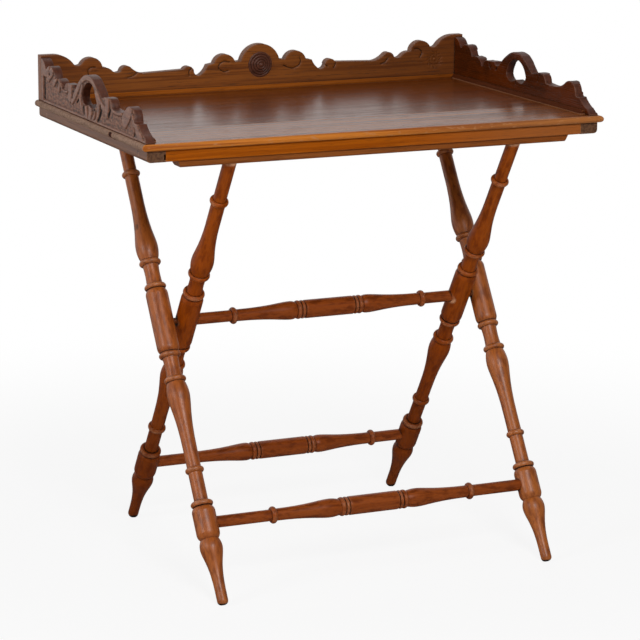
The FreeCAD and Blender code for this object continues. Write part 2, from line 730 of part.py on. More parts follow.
def gallery_back():
    """The back gallery over the full width, with the same pattern on both sides of its crest."""
    def place_on(side):
        def place(point):
            offset = BACK_OFFSET if point[0] < BACK_DRAWN else 0
            across = side * point[0] * GALLERY_OUTSIDE / BACK_DRAWN + offset
            return Vector(across, BACK_FACE, FLOOR_TOP + point[1])
        return place

    feet = {side: Vector(side * GALLERY_OUTSIDE, BACK_FACE, FLOOR_TOP) for name, side in SIDES}
    edges = [line(feet[-1], feet[1])]
    for side, foot in feet.items():
        place = place_on(side)
        edges += scalloped(BACK_EDGE, (0, BACK_CREST), place)
        edges.append(line(place(BACK_EDGE[-1][-1]), foot))
    board = prism(edges, Vector(0, GALLERY_THICKNESS, 0))
    seat = Part.makeCylinder(ROUNDEL_R + GLUE_GAP, ROUNDEL_SEAT + GLUE_GAP,
                             Vector(ROUNDEL_OFFSET, BACK_FACE, FLOOR_TOP + ROUNDEL_RISE), Vector(0, 1, 0))
    return without(board, screw_holes() + gallery_pegs(GLUE_GAP) + [seat])


def hand_hole(x):
    """The outline of a hand hole on a plane of constant X: arched above, with a small point below."""
    half = HAND_HOLE_LENGTH / 2
    foot = HAND_HOLE_FOOT / 2
    curl = half - HAND_HOLE_CURL

    def place(along, rise):
        return Vector(x, HANDLE_Y + along, FLOOR_TOP + HAND_HOLE_RISE + rise)

    edges = [arc(place(-half, HAND_HOLE_SHOULDER), place(0, HAND_HOLE_HEIGHT),
                 place(half, HAND_HOLE_SHOULDER))]
    for side in (-1, 1):
        edges.append(arc(place(side * half, HAND_HOLE_SHOULDER),
                         place(side * curl, HAND_HOLE_CURL_RISE), place(side * foot, 0)))
        edges.append(line(place(side * foot, 0), place(0, HAND_HOLE_POINT)))
    return edges


def gallery_side(side):
    """A side gallery with its hand hole, butted against the back gallery."""
    x = side * GALLERY_INSIDE

    def place(point):
        return Vector(x, BACK_FACE - point[0] * SIDE_LENGTH / SIDE_DRAWN, FLOOR_TOP + point[1])

    edges = scalloped(SIDE_EDGE, (0, SIDE_REAR_HEIGHT), place)
    rear_foot = Vector(x, BACK_FACE, FLOOR_TOP)
    front_foot = Vector(x, SIDE_FRONT, FLOOR_TOP)
    edges += [line(place(SIDE_EDGE[-1][-1]), front_foot), line(front_foot, rear_foot),
              line(rear_foot, place((0, SIDE_REAR_HEIGHT)))]
    through = Vector(side * GALLERY_THICKNESS, 0, 0)
    board = prism(edges, through)
    return without(board, screw_holes() + gallery_pegs(GLUE_GAP) + [prism(hand_hole(x), through)])


def strip_wire(place):
    """The section of a base strip; place takes the depth from the gallery and the rise from the floor."""
    section = [(0, 0), (STRIP_DEPTH, 0), (STRIP_DEPTH, STRIP_HEIGHT - STRIP_BEVEL),
               (STRIP_DEPTH - STRIP_BEVEL, STRIP_HEIGHT), (0, STRIP_HEIGHT)]
    return closed(polygon([place(depth, FLOOR_TOP + rise) for depth, rise in section]))


def mitred_end(side):
    """The mitred end of a base strip in a back corner."""
    return strip_wire(lambda depth, z: Vector(side * (GALLERY_INSIDE - depth), BACK_FACE - depth, z))


def base_strip_back():
    """The strip along the foot of the back gallery, mitred at both ends."""
    return Part.makeLoft([mitred_end(-1), mitred_end(1)], True, True)


def base_strip_side(side):
    """The strip along the foot of a side gallery, mitred at the back."""
    front = SIDE_FRONT + STRIP_FRONT_MARGIN
    square = strip_wire(lambda depth, z: Vector(side * (GALLERY_INSIDE - depth), front, z))
    return Part.makeLoft([mitred_end(side), square], True, True)


def roundel():
    """The turned roundel: rings that climb to a button, let into the back gallery."""
    def place(index, lift):
        share = index / ROUNDEL_RINGS
        return Vector(ROUNDEL_R * share, 0, ROUNDEL_CROWN * (1 - share) + lift)

    button = place(1, 0)
    top = Vector(0, 0, button.z + ROUNDEL_BUTTON)
    rim = place(ROUNDEL_RINGS, 0)
    low_rim = rim - Vector(0, 0, ROUNDEL_SEAT)
    low = Vector(0, 0, low_rim.z)
    edges = [line(rim, low_rim), line(low_rim, low), line(low, top), cap_arc(button, ROUNDEL_BUTTON)]
    for index in range(1, ROUNDEL_RINGS):
        edges.append(arc(place(index, 0), place(index + 0.5, ROUNDEL_BEAD), place(index + 1, 0)))
    shape = Part.Face(closed(edges)).revolve(Vector(), Vector(0, 0, 1), 360)
    shape.rotate(Vector(), Vector(1, 0, 0), 90)
    shape.translate(Vector(ROUNDEL_OFFSET, BACK_FACE, FLOOR_TOP + ROUNDEL_RISE))
    return shape


nodes = {}
for name, side in SIDES:
    nodes["leg_outer_" + name] = outer_leg(side)
    nodes["leg_inner_" + name] = inner_leg(side)
    nodes["strap_" + name] = strap(side)
    nodes["frame_" + name] = side_batten(side)
    nodes["gallery_" + name] = gallery_side(side)
    nodes["base_strip_" + name] = base_strip_side(side)
nodes["frame_left"] = without(nodes["frame_left"], [open_joint()])
nodes["top_rail_front"] = top_rail(INNER_LEG_X, FORWARD)
nodes["top_rail_back"] = top_rail(OUTER_LEG_X, BACKWARD)
nodes["pivot_bar"] = pivot_bar()
nodes["stretcher_lower_front"] = stretcher(OUTER_LEG_X, OUTER_VASE_HEAD, OUTER_VASE_TAIL, STRETCHER_OFFSET,
                                           -LOWER_Y, LOWER_Z)
nodes["stretcher_lower_back"] = stretcher(INNER_LEG_X, INNER_VASE_HEAD, INNER_VASE_TAIL, STRETCHER_OFFSET,
                                          LOWER_Y, LOWER_Z)
nodes["strap_tacks_front"] = Part.makeCompound([tack(place) for place in tack_places(FORWARD)])
nodes["strap_tacks_back"] = Part.makeCompound([tack(place) for place in tack_places(BACKWARD)])
nodes["frame_front"] = cross_batten(TRAY_FRONT)
nodes["frame_back"] = cross_batten(TRAY_BACK - CROSS_BATTEN)
nodes["bearer_back"] = cross_batten(RAIL_Y - CROSS_BATTEN / 2)
nodes["floor_board_front"] = floor_board_front()
nodes["floor_board_back"] = floor_board_back()
nodes["gallery_back"] = gallery_back()
nodes["base_strip_back"] = base_strip_back()
nodes["roundel"] = roundel()
nodes["gallery_screws"] = Part.makeCompound([screw(place, GALLERY_SCREW) for place in GALLERY_SCREW_PLACES])
nodes["frame_screws"] = Part.makeCompound([screw(place, FRAME_SCREW) for place in FRAME_SCREW_PLACES])
nodes["frame_pegs"] = Part.makeCompound(frame_pegs(0))
nodes["gallery_pegs"] = Part.makeCompound(gallery_pegs(0))

# The origin lies on the floor under the middle of the table, between the front feet and the tray's back
front_reach = nodes["leg_outer_left"].optimalBoundingBox(False).YMin
to_middle = Vector(0, -(front_reach + TRAY_BACK) / 2, 0)

os.makedirs("parts", exist_ok=True)
for name, shape in nodes.items():
    shape.translate(to_middle)
    shape.exportStep("parts/" + name + ".step")
print("pivot at y %.3f z %.3f, floor of the tray at z %.3f" % (to_middle.y, PIVOT_Z, FLOOR_TOP))
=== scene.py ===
import json
import math
from itertools import accumulate
import bpy
import numpy as np
from mathutils import Matrix, Vector
from mathutils.geometry import delaunay_2d_cdt
from mathutils.kdtree import KDTree


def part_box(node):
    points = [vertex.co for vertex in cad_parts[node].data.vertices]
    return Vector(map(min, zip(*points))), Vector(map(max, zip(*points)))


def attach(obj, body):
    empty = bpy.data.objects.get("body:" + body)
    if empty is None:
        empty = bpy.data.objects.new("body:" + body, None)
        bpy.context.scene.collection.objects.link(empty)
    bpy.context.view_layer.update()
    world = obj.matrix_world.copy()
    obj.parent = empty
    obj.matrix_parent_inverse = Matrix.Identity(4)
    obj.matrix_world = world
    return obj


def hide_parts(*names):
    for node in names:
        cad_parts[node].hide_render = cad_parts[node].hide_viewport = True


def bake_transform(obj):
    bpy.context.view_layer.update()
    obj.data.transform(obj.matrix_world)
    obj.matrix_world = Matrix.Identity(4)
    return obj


# Butler's tray table: waxed hardwood tray with carved galleries on a folding stand of turned legs.
# Metres, X to the right, Y to the back, Z up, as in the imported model.

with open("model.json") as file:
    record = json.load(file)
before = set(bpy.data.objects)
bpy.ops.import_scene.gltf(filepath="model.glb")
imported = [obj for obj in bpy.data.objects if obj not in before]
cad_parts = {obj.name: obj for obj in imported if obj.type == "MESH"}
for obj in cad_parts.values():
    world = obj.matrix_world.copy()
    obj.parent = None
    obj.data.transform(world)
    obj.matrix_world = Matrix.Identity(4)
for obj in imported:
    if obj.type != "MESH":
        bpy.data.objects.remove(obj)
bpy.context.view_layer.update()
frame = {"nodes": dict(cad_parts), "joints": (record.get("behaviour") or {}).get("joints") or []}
nodes = frame["nodes"]
scene = bpy.context.scene
scene.view_settings.view_transform = "Standard"
MM = 0.001

PIVOT = Vector(frame["joints"][0]["pos_m"])
RAIL_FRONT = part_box("top_rail_front")
RAIL_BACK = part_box("top_rail_back")
FLOOR_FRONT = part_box("floor_board_front")
FLOOR_TOP = FLOOR_FRONT[1].z
BATTEN_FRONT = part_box("frame_left")[0].y
BACK_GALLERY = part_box("gallery_back")
BACK_FACE = BACK_GALLERY[0].y
BACK_REACH = BACK_GALLERY[1].x
LEAN = math.atan2((RAIL_BACK[0].y + RAIL_BACK[1].y) / 2 - PIVOT.y, RAIL_BACK[0].z - PIVOT.z)

# Ways to turn the object's coordinates so that the grain runs along Z
GRAIN_ALONG_X = (0, -math.pi / 2, 0)
GRAIN_ALONG_Y = (math.pi / 2, 0, 0)
GRAIN_OUTER_LEG = (LEAN, 0, 0)
GRAIN_INNER_LEG = (-LEAN, 0, 0)


def tone(red, green, blue):
    """A colour as it is seen, each channel 0 to 255, turned into the colour that a shader takes."""
    def channel(value):
        value /= 255
        return value / 12.92 if value <= 0.04045 else ((value + 0.055) / 1.055) ** 2.4
    return (channel(red), channel(green), channel(blue), 1.0)


class Value:
    """Something that changes over a surface: a socket, with sums and products as Math nodes."""

    def __init__(self, finish, socket):
        self.finish = finish
        self.socket = socket

    def __add__(self, other):
        return self.finish.maths("ADD", self, other)

    __radd__ = __add__

    def __sub__(self, other):
        return self.finish.maths("SUBTRACT", self, other)

    def __rsub__(self, other):
        return self.finish.maths("SUBTRACT", other, self)

    def __mul__(self, other):
        return self.finish.maths("MULTIPLY", self, other)

    __rmul__ = __mul__

    def __abs__(self):
        return self.finish.maths("ABSOLUTE", self)

    def step(self, low, high):
        """A smooth rise from 0 at low to 1 at high; it falls where low is the larger."""
        return self.finish.node("ShaderNodeMapRange", {"interpolation_type": "SMOOTHSTEP"},
                                {"Value": self, "From Min": low, "From Max": high})

    def between(self, low, high, soft):
        """1 from low to high and 0 outside, with a soft line inside each end."""
        return self.step(low, low + soft) * self.step(high, high - soft)


class Nodes:
    """A node tree, filled node by node."""

    def __init__(self, tree):
        self.tree = tree

    def node(self, kind, settings, inputs, output=0):
        made = self.tree.nodes.new(kind)
        for name, value in settings.items():
            setattr(made, name, value)
        for name, value in inputs.items():
            self.feed(made.inputs[name], value)
        return Value(self, made.outputs[output])

    def feed(self, socket, value):
        if isinstance(value, Value):
            self.tree.links.new(value.socket, socket)
        else:
            socket.default_value = value

    def maths(self, operation, *values):
        return self.node("ShaderNodeMath", {"operation": operation}, dict(enumerate(values)))

    def mix(self, factor, first, second):
        """The first colour, turned into the second where the factor is 1. A plain colour is given as it is
        seen."""
        first, second = (colour if isinstance(colour, Value) else tone(*colour) for colour in (first, second))
        return self.node("ShaderNodeMix", {"data_type": "RGBA"}, {0: factor, 6: first, 7: second}, output=2)

    def ray(self, kind):
        return self.node("ShaderNodeLightPath", {}, {}, output="Is " + kind + " Ray")

    def seen(self):
        """1 where the eye looks straight at it or through glass, 0 for light on its way to other things."""
        return self.ray("Camera") + self.ray("Transmission")


# The open share of its surroundings at which a surface counts as open, as flat and as a sharp edge
OPEN_SURFACE = 0.86
FLAT_SURFACE = 0.88
SHARP_EDGE = 0.5


class Finish(Nodes):
    """A material."""

    def __init__(self, name):
        self.material = bpy.data.materials.new(name)
        self.material.use_nodes = True
        super().__init__(self.material.node_tree)
        self.shader = self.tree.nodes["Principled BSDF"]

    def here(self):
        """The object's own coordinates, in metres."""
        return self.node("ShaderNodeTexCoord", {}, {}, output="Object")

    def place(self, turn=(0, 0, 0)):
        return self.node("ShaderNodeMapping", {}, {"Vector": self.here(), "Rotation": turn})

    def along(self, axis):
        """The object's own coordinate along one axis."""
        return self.node("ShaderNodeSeparateXYZ", {}, {"Vector": self.here()}, output=axis)

    def near(self, spot, reach):
        """1 at a place on the object, 0 beyond the reach round it."""
        away = self.node("ShaderNodeVectorMath", {"operation": "DISTANCE"}, {0: self.here(), 1: spot},
                         output="Value")
        return away.step(reach, 0.5 * reach)

    def kept(self, layer):
        """A value that each point of the mesh keeps."""
        return self.node("ShaderNodeAttribute", {"attribute_name": layer}, {}, output="Fac")

    def noise(self, place, run, detail=2.0, bend=0.0):
        """Streaks: run is how many there are to a metre, across the grain and along it."""
        across, along = run
        stretched = self.node("ShaderNodeVectorMath", {"operation": "MULTIPLY"},
                              {0: place, 1: (across, across, along)})
        return self.node("ShaderNodeTexNoise", {}, {"Vector": stretched, "Scale": 1.0, "Detail": detail,
                                                    "Roughness": 0.55, "Distortion": bend})

    def hollows(self, reach, narrowest=0.3):
        """1 deep in grooves and inside corners, 0 on open surface. narrowest is the open share that counts as
        deep."""
        open_share = self.node("ShaderNodeAmbientOcclusion", {"samples": 8}, {"Distance": reach}, output="AO")
        return open_share.step(OPEN_SURFACE, narrowest)

    def edges(self, reach):
        """1 on outer edges, 0 on flat surface."""
        inside = self.node("ShaderNodeAmbientOcclusion", {"samples": 8, "inside": True},
                           {"Distance": reach}, output="AO")
        return inside.step(FLAT_SURFACE, SHARP_EDGE)

    def soft_edges(self, radius):
        return self.node("ShaderNodeBevel", {"samples": 4}, {"Radius": radius})

    def relief(self, height, depth, strength=1.0, normal=None):
        inputs = {"Height": height, "Distance": depth, "Strength": strength}
        if normal is not None:
            inputs["Normal"] = normal
        return self.node("ShaderNodeBump", {}, inputs)

    def set(self, **inputs):
        for name, value in inputs.items():
            self.feed(self.shader.inputs[name.replace("_", " ")], value)


WAX = (34, 15, 6)
# Dark old wax, which in the carved cuts also stands for painted shade
OLD_WAX_AND_SHADE = (20, 9, 4)

# How many marks there are to a metre, across the grain and along it
BROAD_RUN = (14, 2.2)
STREAK_RUN = (190, 3.2)
FIBRE_ACROSS = 620
PORE_RUN = (900, 34)
MOTTLE_RUN = (130, 45)
RUB_RUN = (60, 40)

# How strongly they show
BROAD_SHARE = 0.6
STREAK_SHARE = 0.55
FIBRE_SHARE = 0.4
PORE_SHARE = 0.5

PORE_DEPTH = 0.2 * MM
JOINT_REACH = 26 * MM


def wood(name, turn, body, deep, bright, shine=0.28, gloss=0.24, wax=0.85, wear=0.35, worn=(190, 124, 76),
         groove=4.5, narrowest=0.3, crest=2.2, soften=0.0, grain=1.0, fleck=14, mottle=0.0, joints=(),
         cup=0.0, shade=None):
    """Waxed wood: broad colour, streaks, fibre and open pores along the grain, dark wax in the grooves and
    paler worn edges. groove, crest and soften are millimetres: how far round a point hollows and edges are
    looked for, and how round an edge looks. joints are places where another piece enters, and nothing rubs.
    cup is the slope of a board that has lifted towards the back. shade may change the colour before the wear
    and the wax go on, and says how much duller it leaves the wood."""
    finish = Finish(name)
    place = finish.place(turn)
    broad = finish.noise(place, BROAD_RUN)
    streak = finish.noise(place, STREAK_RUN, 3.0, 0.4)
    fibre = finish.noise(place, (FIBRE_ACROSS, fleck))
    pores = finish.noise(place, PORE_RUN).step(0.6, 0.7)
    colour = finish.mix(broad.step(0.35, 0.68) * BROAD_SHARE, body, bright)
    colour = finish.mix(streak.step(0.44, 0.66) * (STREAK_SHARE * grain), colour, deep)
    colour = finish.mix(fibre.step(0.45, 0.75) * (FIBRE_SHARE * grain), colour, deep)
    colour = finish.mix(pores * (PORE_SHARE * grain), colour, WAX)
    if mottle:
        blotches = finish.noise(place, MOTTLE_RUN, 4.0).step(0.46, 0.66)
        colour = finish.mix(blotches * mottle, colour, deep)
    dullness = 0.0
    if shade:
        colour, dullness = shade(finish, colour, streak)
    hollow = finish.hollows(groove * MM, narrowest)
    edge = finish.edges(crest * MM) * finish.noise(place, RUB_RUN).step(0.32, 0.62)
    for spot in joints:
        edge = edge * (1 - finish.near(spot, JOINT_REACH))
    colour = finish.mix(edge * wear, colour, worn)
    colour = finish.mix(hollow * wax, colour, WAX)
    normal = finish.soft_edges(soften * MM) if soften else None
    if cup:
        normal = finish.relief(finish.along("Y") * cup, 1.0)
    finish.set(Base_Color=colour, Specular_IOR_Level=gloss,
               Roughness=fibre * 0.14 + hollow * 0.25 - edge * 0.05 + dullness + shine,
               Normal=finish.relief(fibre * 0.5 - pores * 0.8, PORE_DEPTH, 0.5 * grain, normal))
    return finish.material


def fading(axis, start, end, share, colour_there):
    """A shade that turns the wood towards another colour along one axis."""
    def shade(finish, colour, streak):
        return finish.mix(finish.along(axis).step(start, end) * share, colour, colour_there), 0.0
    return shade


# The inner legs grow darker towards the foot, the front batten has faded towards its right end, and the back
# of the tray is painted darker towards its right end: painted shade, as the light falls off to the right
darker_foot = fading("Z", 0.36, 0.08, 0.55, (92, 36, 6))
faded_right = fading("X", 0.0, 0.3, 0.45, (162, 106, 62))
painted_shade_right = fading("X", -0.05, 0.3, 0.4, (74, 34, 8))

LEG_KNOT = (-0.2905, 0.0645, 0.5275)
LEG_KNOT_REACH = 8 * MM


def leg_flaw(finish, colour, streak):
    """A small dark knot on the side of the front left leg."""
    knot = finish.near(LEG_KNOT, LEG_KNOT_REACH) * streak.step(0.3, 0.6)
    return finish.mix(knot * 0.75, colour, WAX), knot * 0.2


def ends_of(*bars):
    """Where the ends of some cross bars sit in the legs."""
    spots = []
    for bar in bars:
        low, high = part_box(bar)
        middle = (low + high) / 2
        spots += [(low.x, middle.y, middle.z), (high.x, middle.y, middle.z)]
    return spots


# On turned pieces the pale worn crests are partly real wear and partly a painted highlight.
TURNED_LOOK = {"crest": 6.0, "worn": (222, 168, 128), "wax": 1.0, "groove": 7.0, "narrowest": 0.55,
               "grain": 0.55, "fleck": 150, "mottle": 0.7}
leg_outer_wood = wood("turned_wood_outer", GRAIN_OUTER_LEG, (172, 90, 30), (120, 54, 12), (188, 108, 46),
                      gloss=0.5, shine=0.33, wear=0.75, joints=ends_of("stretcher_lower_front"),
                      shade=leg_flaw, **TURNED_LOOK)
# The inner legs take a darker copy of the leg wood: painted shade of legs that lean in under the tray.
leg_inner_wood = wood("turned_wood_inner", GRAIN_INNER_LEG, (156, 70, 7), (112, 44, 3), (170, 84, 17),
                      gloss=0.12, wear=0.9, joints=ends_of("stretcher_lower_back", "pivot_bar"),
                      shade=darker_foot, **TURNED_LOOK)
stretcher_wood = wood("turned_wood_stretcher", GRAIN_ALONG_X, (148, 70, 22), (100, 40, 8), (162, 82, 32),
                      gloss=0.18, wear=0.6, **TURNED_LOOK)
rail_wood = wood("rail_wood", GRAIN_ALONG_X, (138, 72, 22), (104, 50, 12), (154, 88, 34), soften=1.0)

SOFT_LINE = 0.6 * MM

# The plug in the left edge of the tray and its slot of painted shade: from where to where along the edge, and up
# it
PLUG_SPAN = (-85.0 * MM, -71.2 * MM)
SHADED_SLOT_SPAN = (-81.8 * MM, -75.0 * MM)
PLUG_FOOT = 695.5 * MM
PLUG_TOP = 707.5 * MM


def plug(finish, colour):
    """A reddish plug let into the left edge of the tray, with a slot in it painted dark as painted shade."""
    left = finish.along("X").step(-0.3, -0.35)
    across = finish.along("Y")
    height = finish.along("Z")
    tall = height.step(PLUG_FOOT, PLUG_FOOT + 0.7 * MM) * height.step(PLUG_TOP, PLUG_TOP - 0.9 * MM) * left
    body = across.between(*PLUG_SPAN, SOFT_LINE) * tall
    slot = across.between(*SHADED_SLOT_SPAN, SOFT_LINE) * tall
    colour = finish.mix(body * 0.85, colour, (92, 36, 18))
    # The slot: painted shade
    return finish.mix(slot * 0.95, colour, (16, 6, 3)), slot * 0.6 + body * 0.2


FIGURE_RUN = (75, 1.4)
SPOT_RUN = (240, 90)

# How far in from the front edge and from the ends the floor boards change their colour: where it starts, and
# where it is full
NOSING = (7 * MM, 4.5 * MM)
BOARD_END = (6.5 * MM, 4 * MM)


def nosing(finish, colour, streak):
    """The floor boards: dark figure runs along them, their ends are grey with dust and a painted reflection of
    the pale studio, and their front edge has worn back to orange wood with pale spots."""
    place = finish.place(GRAIN_ALONG_X)
    figure = finish.noise(place, FIGURE_RUN, 4.0).step(0.46, 0.64)
    colour = finish.mix(figure * 0.5, colour, (66, 30, 12))
    front = finish.along("Y").step(*(FLOOR_FRONT[0].y + reach for reach in NOSING))
    ends = abs(finish.along("X")).step(*(FLOOR_FRONT[1].x - reach for reach in BOARD_END))
    # Grey ends: dust and a painted reflection of the pale studio
    side = finish.mix(streak.step(0.4, 0.7), (156, 122, 100), (122, 92, 74))
    bare = finish.mix(streak.step(0.4, 0.62), (206, 122, 40), (164, 86, 22))
    bare = finish.mix(finish.along("X").step(-0.05, 0.3) * 0.6, bare, (146, 94, 58))
    spots = finish.noise(place, SPOT_RUN).step(0.6, 0.7)
    bare = finish.mix(spots * 0.6, bare, (196, 136, 88))
    colour = finish.mix(front, finish.mix(ends, colour, side), bare)
    colour, dullness = plug(finish, colour)
    return colour, ends * 0.34 + front * 0.2 + figure * 0.05 + dullness


FLOOR_LOOK = {"wax": 0.35, "wear": 0.1, "shade": nosing}
front_board_wood = wood("front_board_wood", GRAIN_ALONG_X, (142, 78, 34), (114, 58, 24), (156, 92, 46),
                        shine=0.13, gloss=0.235, cup=0.06, **FLOOR_LOOK)
back_board_wood = wood("back_board_wood", GRAIN_ALONG_X, (126, 62, 21), (84, 36, 9), (140, 76, 31),
                       shine=0.12, gloss=0.135, grain=1.2, **FLOOR_LOOK)

RING_RUN = (300, 300)
BATTEN_KNOT = (-0.38, -0.1786, 0.6904)
BATTEN_KNOT_REACH = 5 * MM


def end_grain(finish, colour, streak):
    """The side battens: end grain at the front, short, dark and grey, and a dark knot at the left."""
    front = finish.along("Y").step(BATTEN_FRONT + 1.5 * MM, BATTEN_FRONT + 0.8 * MM)
    rings = finish.noise(finish.place(), RING_RUN, 3.0)
    colour = finish.mix(front, colour, finish.mix(rings.step(0.4, 0.6), (112, 76, 50), (84, 54, 34)))
    colour = finish.mix(finish.near(BATTEN_KNOT, BATTEN_KNOT_REACH) * 0.85, colour, (28, 14, 8))
    return plug(finish, colour)


apron_wood = wood("apron_wood", GRAIN_ALONG_X, (164, 78, 2), (132, 58, 1), (178, 94, 12), gloss=0.08,
                  soften=0.8, shade=faded_right)
side_batten_wood = wood("side_batten_wood", GRAIN_ALONG_Y, (120, 74, 44), (92, 52, 28), (138, 92, 62),
                        soften=1.0, shine=0.4, gloss=0.36, shade=end_grain)
# Painted shade: the back strip is darker towards its right end.
strip_wood = wood("strip_wood", GRAIN_ALONG_X, (150, 78, 18), (112, 50, 8), (166, 92, 28), gloss=0.1,
                  soften=0.8, shade=painted_shade_right)


def pale_foot(finish, colour, streak):
    """The foot of the side strips has worn pale along the floor."""
    foot = finish.along("Z").step(FLOOR_TOP + 2.0 * MM, FLOOR_TOP + 1.2 * MM)
    return finish.mix(foot * 0.7, colour, (176, 124, 92)), foot * 0.2


side_strip_wood = wood("side_strip_wood", GRAIN_ALONG_Y, (84, 38, 14), (62, 24, 8), (98, 48, 20), gloss=0.05,
                       wax=0.4, shine=0.62, soften=0.8, shade=pale_foot)
# The roundel's pale bead crests are partly real wear and partly a painted highlight.
roundel_wood = wood("roundel_wood", GRAIN_ALONG_X, (86, 48, 34), (54, 28, 18), (102, 60, 44), wear=0.7,
                    worn=(150, 108, 84), groove=4.0, wax=1.0, crest=1.6, shine=0.34)
peg_wood = wood("peg_wood", GRAIN_ALONG_Y, (112, 62, 32), (84, 44, 20), (130, 78, 46))

PUNCHES = 420.0
ROUGH_RUN = (240, 110)
CLOUD_RUN = (26, 12)


def carved(finish, colour, streak):
    """Carved wood: the sunk ground is dull and punched all over; grooves are dark with old wax and painted
    shade.
    """
    groove = finish.kept("groove")
    sunk = finish.kept("carved_depth").step(0.6, 1.4)
    punched = finish.node("ShaderNodeTexVoronoi", {}, {"Vector": finish.place(), "Scale": PUNCHES},
                          output="Distance")
    colour = finish.mix(punched.step(0.55, 0.2) * sunk * 0.5, colour, (44, 24, 14))
    rough = finish.noise(finish.place(GRAIN_ALONG_Y), ROUGH_RUN)
    colour = finish.mix(rough.step(0.5, 0.64) * (0.25 + 0.45 * sunk), colour, (40, 22, 12))
    colour = finish.mix(rough.step(0.46, 0.34) * 0.4, colour, (164, 124, 98))
    return finish.mix(groove.step(0.15, 0.6) * 0.95, colour, OLD_WAX_AND_SHADE), sunk * 0.12 + groove * 0.3


def shaded_inner_faces(finish, colour, streak):
    """Painted shade: the inner faces of the side galleries are darker, with orange clouds and dark grooves."""
    clouds = finish.noise(finish.place(GRAIN_ALONG_Y), CLOUD_RUN).step(0.42, 0.66)
    colour = finish.mix(clouds * 0.7, colour, (112, 48, 8))
    # Old wax and painted shade in the grooves
    return finish.mix(finish.kept("groove").step(0.15, 0.6) * 0.95, colour, OLD_WAX_AND_SHADE), 0.0


def hooked(finish, colour, streak):
    """The back gallery: painted shade towards its right end, and hooked cuts dark with old wax and painted
    shade.
    """
    colour, dullness = painted_shade_right(finish, colour, streak)
    return finish.mix(finish.kept("groove").step(0.2, 0.8) * 0.9, colour, OLD_WAX_AND_SHADE), dullness


def pale_ends_dust_and_sheen(finish, colour, streak):
    """The back gallery's ends are as pale as the carved faces beside them: dust and a painted sheen."""
    end = abs(finish.along("X")).step(BACK_REACH - 1.2 * MM, BACK_REACH - 0.6 * MM)
    return finish.mix(end, colour, (132, 84, 58)), 0.0


back_gallery_wood = wood("back_gallery_wood", GRAIN_ALONG_X, (138, 74, 24), (92, 42, 10), (152, 88, 32),
                         wear=0.4, worn=(158, 106, 68), shine=0.42, gloss=0.25, grain=1.2, shade=hooked)
back_edge_wood = wood("back_edge_wood", GRAIN_ALONG_X, (118, 66, 32), (86, 46, 20), (132, 80, 44),
                      wear=0.4, worn=(158, 106, 68), shine=0.45, gloss=0.45, shade=pale_ends_dust_and_sheen)
carved_wood = wood("carved_wood", GRAIN_ALONG_Y, (130, 76, 48), (94, 50, 28), (146, 90, 60),
                   wear=0.7, worn=(180, 134, 104), wax=0.6, shine=0.36, gloss=0.55, groove=6.0, shade=carved)
# The side galleries' inner faces: a darker copy of the carved wood, as painted shade.
shaded_inner_wood = wood("shaded_inner_wood", GRAIN_ALONG_Y, (80, 34, 8), (56, 22, 5), (94, 42, 10),
                    wear=0.4, worn=(144, 92, 62), shine=0.2, gloss=0.16, shade=shaded_inner_faces)
# The side galleries' edges take a darker copy of the carved wood: painted shade.
side_edge_wood = wood("side_edge_wood", GRAIN_ALONG_Y, (88, 44, 27), (58, 27, 14), (104, 56, 35),
                      wear=0.55, worn=(172, 124, 94), shine=0.4, gloss=0.32)

# The webbing: from thread to thread both ways, and where its stripes lie from the middle of a strap
WARP = 1.6 * MM
WEFT = 2.0 * MM
STRIPE = (13 * MM, 18 * MM)
STRAP_FROM_RAIL_END = 200 * MM
FADED_RUN = (120, 120)


def webbing():
    """Coarse flax webbing in a plain weave, with a brown stripe near each edge."""
    finish = Finish("webbing")
    across = finish.along("X")
    warp = finish.maths("SINE", across * (2 * math.pi / WARP))
    weft = finish.maths("SINE", finish.along("Y") * (2 * math.pi / WEFT))
    weave = warp * weft
    faded = finish.noise(finish.place(), FADED_RUN, 3.0)
    from_middle = abs(abs(across) - (RAIL_FRONT[1].x - STRAP_FROM_RAIL_END))
    stripe = from_middle.between(*STRIPE, SOFT_LINE)
    colour = finish.mix(faded.step(0.35, 0.7), (176, 152, 116), (138, 114, 82))
    colour = finish.mix(stripe * 0.8, colour, (104, 66, 42))
    colour = finish.mix(weave.step(-0.2, -0.9) * 0.6, colour, (84, 66, 46))
    finish.set(Base_Color=colour, Roughness=0.88 + faded * 0.1, Specular_IOR_Level=0.15,
               Normal=finish.relief(weave, 0.35 * MM, 0.8))
    return finish.material


TARNISH_RUN = (260, 260)
TARNISH_REACH = 1.5 * MM


def metal(name, bright, dull, shine):
    """Metal gone dull in the hollows and in cloudy patches."""
    finish = Finish(name)
    cloud = finish.noise(finish.place(), TARNISH_RUN, 4.0)
    colour = finish.mix(cloud.step(0.35, 0.65), bright, dull)
    colour = finish.mix(finish.hollows(TARNISH_REACH) * 0.7, colour, (40, 30, 20))
    finish.set(Base_Color=colour, Metallic=1.0, Roughness=shine + cloud * 0.3,
               Normal=finish.relief(cloud, 0.08 * MM, 0.4))
    return finish.material


webbing_cloth = webbing()
tack_brass = metal("tack_brass", (206, 168, 96), (140, 106, 52), 0.25)
screw_steel = metal("screw_steel", (150, 146, 140), (92, 84, 78), 0.32)

